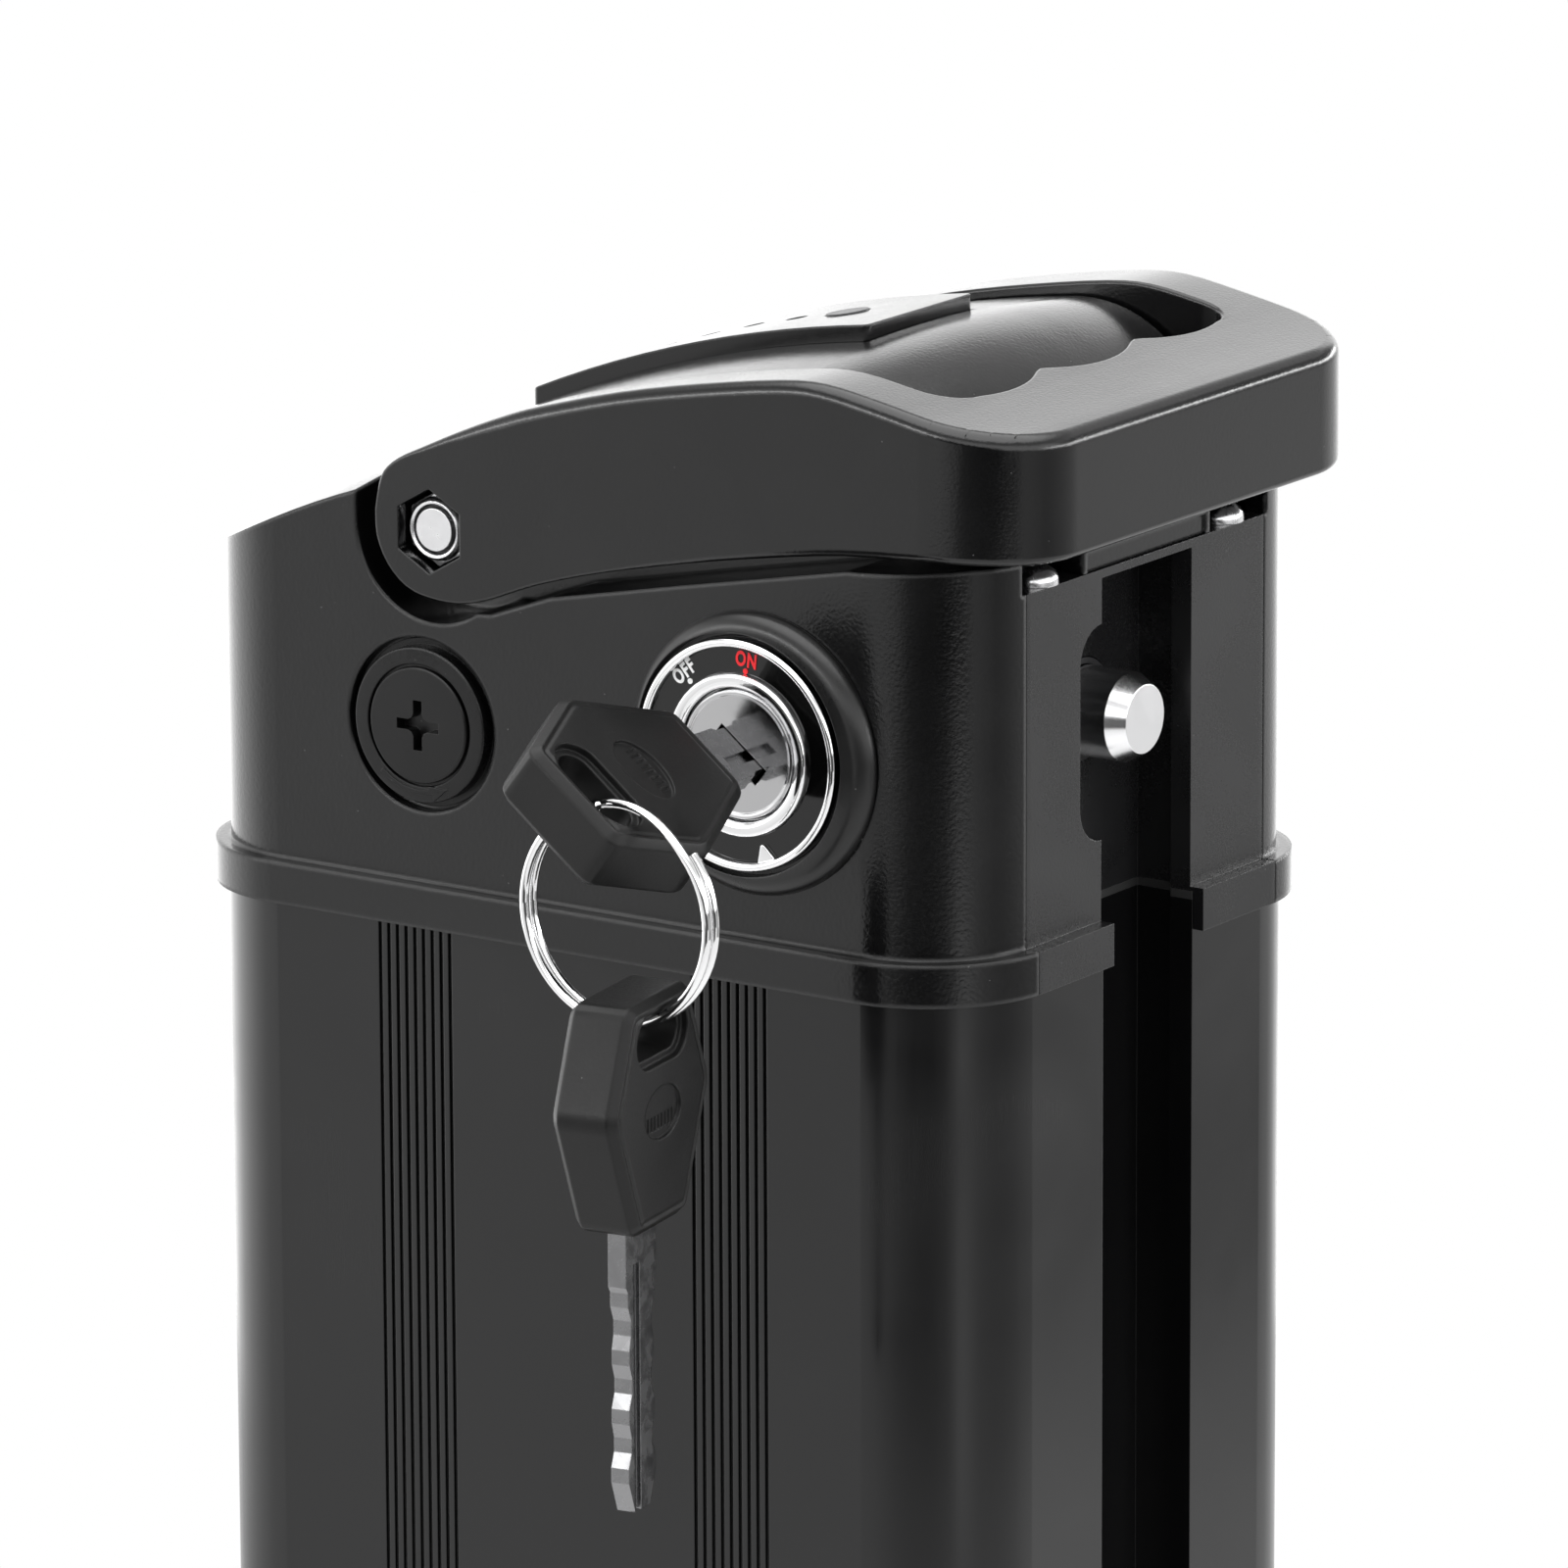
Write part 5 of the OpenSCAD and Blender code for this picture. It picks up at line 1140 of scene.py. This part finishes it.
@dataclass
class GaugePlate:
    """Plate on the dome, with the windows of four lights and a test button."""

    palette: Palette
    centre: Flat = (44.8, 219.5)
    radius: float = 169.0
    rear: float = -23.3
    front: float = 23.8
    half: float = 10.85
    sink: float = 0.5
    proud: float = 1.7

    def height(self, x: float, lift: float) -> float:
        """Height of the long curve above the origin at place x, raised by lift."""
        return self.centre[1] + math.sqrt((self.radius + lift) ** 2 - (x - self.centre[0]) ** 2)

    def build(self) -> bpy.types.Object:
        """Model the plate.

        Returns:
            The finished piece.
        """
        steps = 12
        xs = [self.rear + (self.front - self.rear) * i / steps for i in range(steps + 1)]
        outline = ([(x, self.height(x, -self.sink)) for x in xs]
                   + [(x, self.height(x, self.proud)) for x in reversed(xs)])
        piece = outline_solid("gauge_plate", outline, -self.half, self.half, Plane.SIDE)
        with editing(piece):
            pick_edges(piece, lambda at, high, low: (abs(at.y) > self.half - 0.1 and abs(high.z) < 0.5
                                                     and abs(low.z) < 0.5))
            bpy.ops.mesh.bevel(offset=0.8 * MM, segments=3, affect="EDGES")
        ease(piece, 0.2, 2)
        for x, hole in [(-11.0 + 6 * i, 1.3) for i in range(4)] + [(14.0, 2.7)]:
            tool = rod("window_tool", hole, -4, 4, 32)
            lean = math.degrees(math.asin((self.centre[0] - x) / self.radius))
            combine(piece, place(tool, shift(x, 0, self.height(x, 0)) @ turn(-lean, "Y")), Join.CUT)
        return soften(piece)

    def dress(self) -> None:
        """Build the plate and give it its finish."""
        settle(self.build(), "battery", "plate_face", self.palette.get("plate"), "label_plate")


@dataclass
class CarriedNodes:
    """The CAD nodes whose shapes stay as they are, and the finish of each."""

    palette: Palette
    FINISH_OF = {
        "case": "anodised", "top_cap": "cap", "bottom_cap": "cap", "channel_insert": "insert",
        "gasket_top": "rubber", "gasket_bottom": "rubber", "bottom_screws": "screw",
        "pivot_bolt": "screw", "pivot_sleeve": "steel", "gauge_board": "board", "gauge_lights": "lens",
        "test_button": "button", "lock_dial": "dial", "lock_body": "steel", "lock_nut": "steel",
        "switch_block": "dark", "lock_cam": "steel", "lock_pin": "pin", "pin_guide": "dark",
        "latch_frame": "steel", "pin_spring": "steel", "key_blade": "key steel",
        "spare_key_blade": "key steel", "fuse_socket": "dark", "fuse_carrier": "dark", "fuse_tube": "glass",
        "fuse_ends": "nickel", "cells": "wrap", "cell_holder_front": "holder", "cell_holder_rear": "holder",
        "nickel_strips": "nickel", "end_pads": "foam", "bms_board": "board", "bms_parts": "chip",
        "positive_lead": "lead red", "negative_lead": "lead black", "discharge_socket": "dark",
        "contact_blades": "brass", "charge_socket": "steel", "charge_nut": "steel", "charge_cover": "cover",
        "cover_pin": "steel",
    }

    def dress(self) -> None:
        """Give each node its finish."""
        for node, key in self.FINISH_OF.items():
            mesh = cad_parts[node].data
            material = self.palette.get(key)
            mesh.materials.clear()
            mesh.materials.append(material)
            LOG.info("%s: %s", node, key)


# Studio

@dataclass
class Studio:
    """Pale floor, even white surround, soft lamps, reflection cards and the camera."""

    turn: float = 0.604251757890095
    tip: float = 0.2436732180389611
    roll: float = -0.004404851361585924
    focal: float = 11775.12
    distance: float = 1345.02
    target: Place = (4.5156, 0.0, 330.2109)
    frame_px: float = 1600.0
    sky: tuple[Flat, ...] = ((0.0, 2.0), (0.3, 2.0), (0.42, 1.9), (0.52, 0.9), (0.68, 0.7), (0.82, 3.4),
                                    (1.0, 3.6))
    surround: tuple[Flat, ...] = (
        (-90, 2.2), (-72, 1.9), (-52, 1.25), (-40, 1.0), (-34.6, 0.95), (-22, 0.75), (-6.6, 0.4), (8, 0.08), (22, 0.02),
        (37, 0.03), (51, 0.3), (63, 1.35), (70, 1.0), (80, 0.5), (95, 0.32), (112, 0.3), (130, 0.36), (145, 0.52),
        (169, 0.9), (183, 1.4), (215, 1.9), (253, 2.4), (270, 2.2))
    corner: tuple[Flat, ...] = (
        (-26, 0.85), (-5, 0.95), (6, 0.8), (16, 0.25), (28, 0.12), (51, 0.02), (66, 0.15), (76, 0.6), (87, 0.5),
        (96, 0.4))

    def camera(self) -> None:
        """Put the camera where the photograph was taken from."""
        a, e, r = self.turn, self.tip, self.roll
        ahead = Vector((-math.sin(a) * math.cos(e), math.cos(a) * math.cos(e), -math.sin(e)))
        right = Vector((math.cos(a), math.sin(a), 0))
        up = right.cross(ahead)
        across = right * math.cos(r) + up * math.sin(r)
        upright = up * math.cos(r) - right * math.sin(r)
        data = bpy.data.cameras.new("camera")
        data.sensor_width = 36
        data.sensor_fit = "HORIZONTAL"
        data.lens = self.focal / self.frame_px * 36
        data.clip_start, data.clip_end = 0.05, 60
        camera = bpy.data.objects.new("camera", data)
        bpy.context.scene.collection.objects.link(camera)
        matrix = Matrix((across, upright, -ahead)).transposed().to_4x4()
        matrix.translation = (Vector(self.target) - ahead * self.distance) * MM
        camera.matrix_world = matrix
        bpy.context.scene.camera = camera

    def gloss(self, g: Graph) -> Socket:
        """1 where a ray comes from a camera or from gloss or glass, 0 where it lights a matt surface."""
        path = g.add("LightPath").outputs
        return g.sum("MAXIMUM", path["Is Camera Ray"], g.sum("MAXIMUM", path["Is Glossy Ray"],
                                                             path["Is Transmission Ray"]))

    def ramp(self, g: Graph, value: Socket, stops: Sequence[Flat], top: float) -> Socket:
        """Brightness that follows stops of (value, brightness) with straight lines between them.

        Args:
            g: Graph to add to.
            value: What the stops are placed by, from 0 to 1.
            stops: The stops, in rising order.
            top: Greatest brightness.

        Returns:
            The brightness.
        """
        node = g.add("ValToRGB", {"Fac": value})
        elements = node.color_ramp.elements
        elements[0].position, elements[1].position = stops[0][0], stops[-1][0]
        for at, _ in stops[1:-1]:
            elements.new(at)
        for element, (_, level) in zip(elements, stops):
            element.color = (level / top, level / top, level / top, 1)
        return g.sum("MULTIPLY", node.outputs["Color"], top)

    def world(self) -> None:
        """White to the camera, brighter overhead to gloss, and softer on matt surfaces."""
        world = bpy.data.worlds.new("surround")
        world.use_nodes = True
        bpy.context.scene.world = world
        g = Graph(world.node_tree)
        path = g.add("LightPath").outputs
        height = g.add("SeparateXYZ", {0: g.add("TexCoord").outputs["Generated"]}).outputs["Z"]
        sky = self.ramp(g, height, self.sky, 4.0)
        shiny = g.spread(g.sum("MAXIMUM", path["Is Glossy Ray"], path["Is Transmission Ray"]), 0.45, 1.0)
        level = g.add("Mix", {0: path["Is Camera Ray"], 2: g.sum("MULTIPLY", sky, shiny), 3: 1.0}).outputs[0]
        background = world.node_tree.nodes["Background"]
        background.inputs["Color"].default_value = (1, 1, 1, 1)
        seen = g.sum("MAXIMUM", path["Is Camera Ray"], path["Is Transmission Ray"])
        matt = g.sum("MAXIMUM", path["Is Glossy Ray"], seen)
        even = g.add("Mix", {0: matt, 2: 0.5, 3: level}).outputs[0]
        world.node_tree.links.new(even, background.inputs["Strength"])

    def floor(self) -> None:
        """Pale floor that keeps the shadow near the object and runs out to white."""
        clear_selection()
        bpy.ops.mesh.primitive_circle_add(vertices=96, radius=14, fill_type="NGON")
        floor = named("studio_floor")
        material = bpy.data.materials.new("pale floor")
        material.use_nodes = True
        tree = material.node_tree
        tree.nodes.clear()
        g = Graph(tree)
        where = g.add("TexCoord").outputs["Object"]
        away = g.add("VectorMath", {0: where}, operation="LENGTH").outputs["Value"]
        mottle = g.noise(where, 40.0, 4.0)
        paint = g.mix(mottle, (0.80, 0.80, 0.80), (0.84, 0.84, 0.84))
        matt = g.add("BsdfDiffuse", {"Color": paint}).outputs[0]
        white = g.add("Emission", {"Color": (1, 1, 1, 1), "Strength": g.spread(self.gloss(g), 0.5, 1.0)}).outputs[0]
        far = g.spread(away, 0.0, 1.0, 0.22, 0.6)
        shade = g.add("MixShader", {0: far, 1: matt, 2: white}).outputs[0]
        g.add("OutputMaterial", {"Surface": shade})
        floor.data.materials.append(material)

    def lamp(self, name: str, at: Place, size: Flat, watts: float) -> None:
        """Rectangular soft lamp aimed at the object.

        Args:
            name: Name of the lamp.
            at: Its place, in metres.
            size: Its two sides, in metres.
            watts: Its power.
        """
        data = bpy.data.lights.new(name, "AREA")
        data.shape = "RECTANGLE"
        data.size, data.size_y = size
        data.energy = watts
        lamp = bpy.data.objects.new(name, data)
        lamp.location = at
        lamp.rotation_euler = (Vector((0, 0, 0.3)) - Vector(at)).to_track_quat("-Z", "Y").to_euler()
        lamp.visible_glossy = False
        bpy.context.scene.collection.objects.link(lamp)

    def card(self, name: str, span: Flat, radius: float, low: float, high: float,
             stops: Sequence[Flat], top: float) -> None:
        """Upright curved card that only reflections see.

        Args:
            name: Name of the card.
            span: Where it starts and ends, in degrees from -Y towards +X.
            radius: Its distance from the object's axis, in metres.
            low: Height of its lower edge, in metres.
            high: Height of its upper edge, in metres.
            stops: Its brightness, as pairs of degrees and level.
            top: Greatest level.
        """
        clear_selection()
        bpy.ops.mesh.primitive_grid_add(x_subdivisions=48, y_subdivisions=1, size=1)
        card = named(name)
        for vertex in card.data.vertices:
            a = math.radians(span[0] + (span[1] - span[0]) * (vertex.co.x + 0.5))
            vertex.co = (radius * math.sin(a), -radius * math.cos(a), low if vertex.co.y < 0 else high)
        material = bpy.data.materials.new(name)
        material.use_nodes = True
        tree = material.node_tree
        tree.nodes.clear()
        g = Graph(tree)
        around = g.add("TexGradient", {"Vector": g.add("TexCoord").outputs["Object"]},
                       gradient_type="RADIAL").outputs["Fac"]
        level = self.ramp(g, around, [((a + 90) / 360, b) for a, b in stops], top)
        glow = g.add("Emission", {"Color": (1, 1, 1, 1), "Strength": level}).outputs[0]
        g.add("OutputMaterial", {"Surface": glow})
        card.data.materials.append(material)
        card.visible_camera = card.visible_diffuse = card.visible_shadow = False
        card.visible_transmission = card.visible_volume_scatter = False

    def build(self) -> None:
        """Set up the camera, the surround, the floor, the lamps and the cards."""
        bpy.context.scene.view_settings.view_transform = "Standard"
        self.camera()
        self.world()
        self.floor()
        self.lamp("overhead", (0.1, 0.2, 1.9), (1.4, 1.4), 18)
        self.lamp("left", (-1.3, -1.2, 0.9), (0.9, 1.2), 26)
        self.lamp("right", (1.6, -0.3, 0.9), (0.9, 1.2), 18)
        self.card("surround_card", (-90, 270), 0.9, 0.0, 0.34, self.surround, 6.0)
        self.card("corner_card", (-26, 96), 0.89, 0.135, 0.31, self.corner, 2.0)
        self.card("dark_card", (-16, 56), 0.92, 0.34, 0.48, ((-16, 1.0), (4, 0.1), (40, 0.05), (56, 0.8)), 1.0)
        self.card("shade_card", (118, 186), 0.95, 0.56, 0.86, ((118, 1.0), (130, 0.45), (175, 0.45), (186, 1.2)), 2.0)
        self.card("strip_card", (100, 182), 0.93, 0.45, 0.525, ((100, 13), (182, 13)), 14.0)
        self.card("key_card", (-58, 5), 0.95, 0.58, 0.7, ((-58, 7), (-20, 9), (5, 5)), 10.0)
        self.card("glow_card", (98, 174), 0.88, 0.11, 0.25,
                  ((98, 0.34), (112, 0.42), (130, 0.6), (145, 0.85), (174, 1.1)), 2.0)
        LOG.info("studio: ready")


def main() -> None:
    """Build and dress every sub-assembly in order and set up the studio."""
    logging.basicConfig(level=logging.INFO, format="%(name)s: %(message)s")
    palette = Palette()
    for part in (CarriedNodes, Handle, Key, LockFront, FuseCap, InsertScrews, GaugePlate):
        part(palette).dress()
    Studio().build()
    clear_selection()


if __name__ == "__main__":
    main()
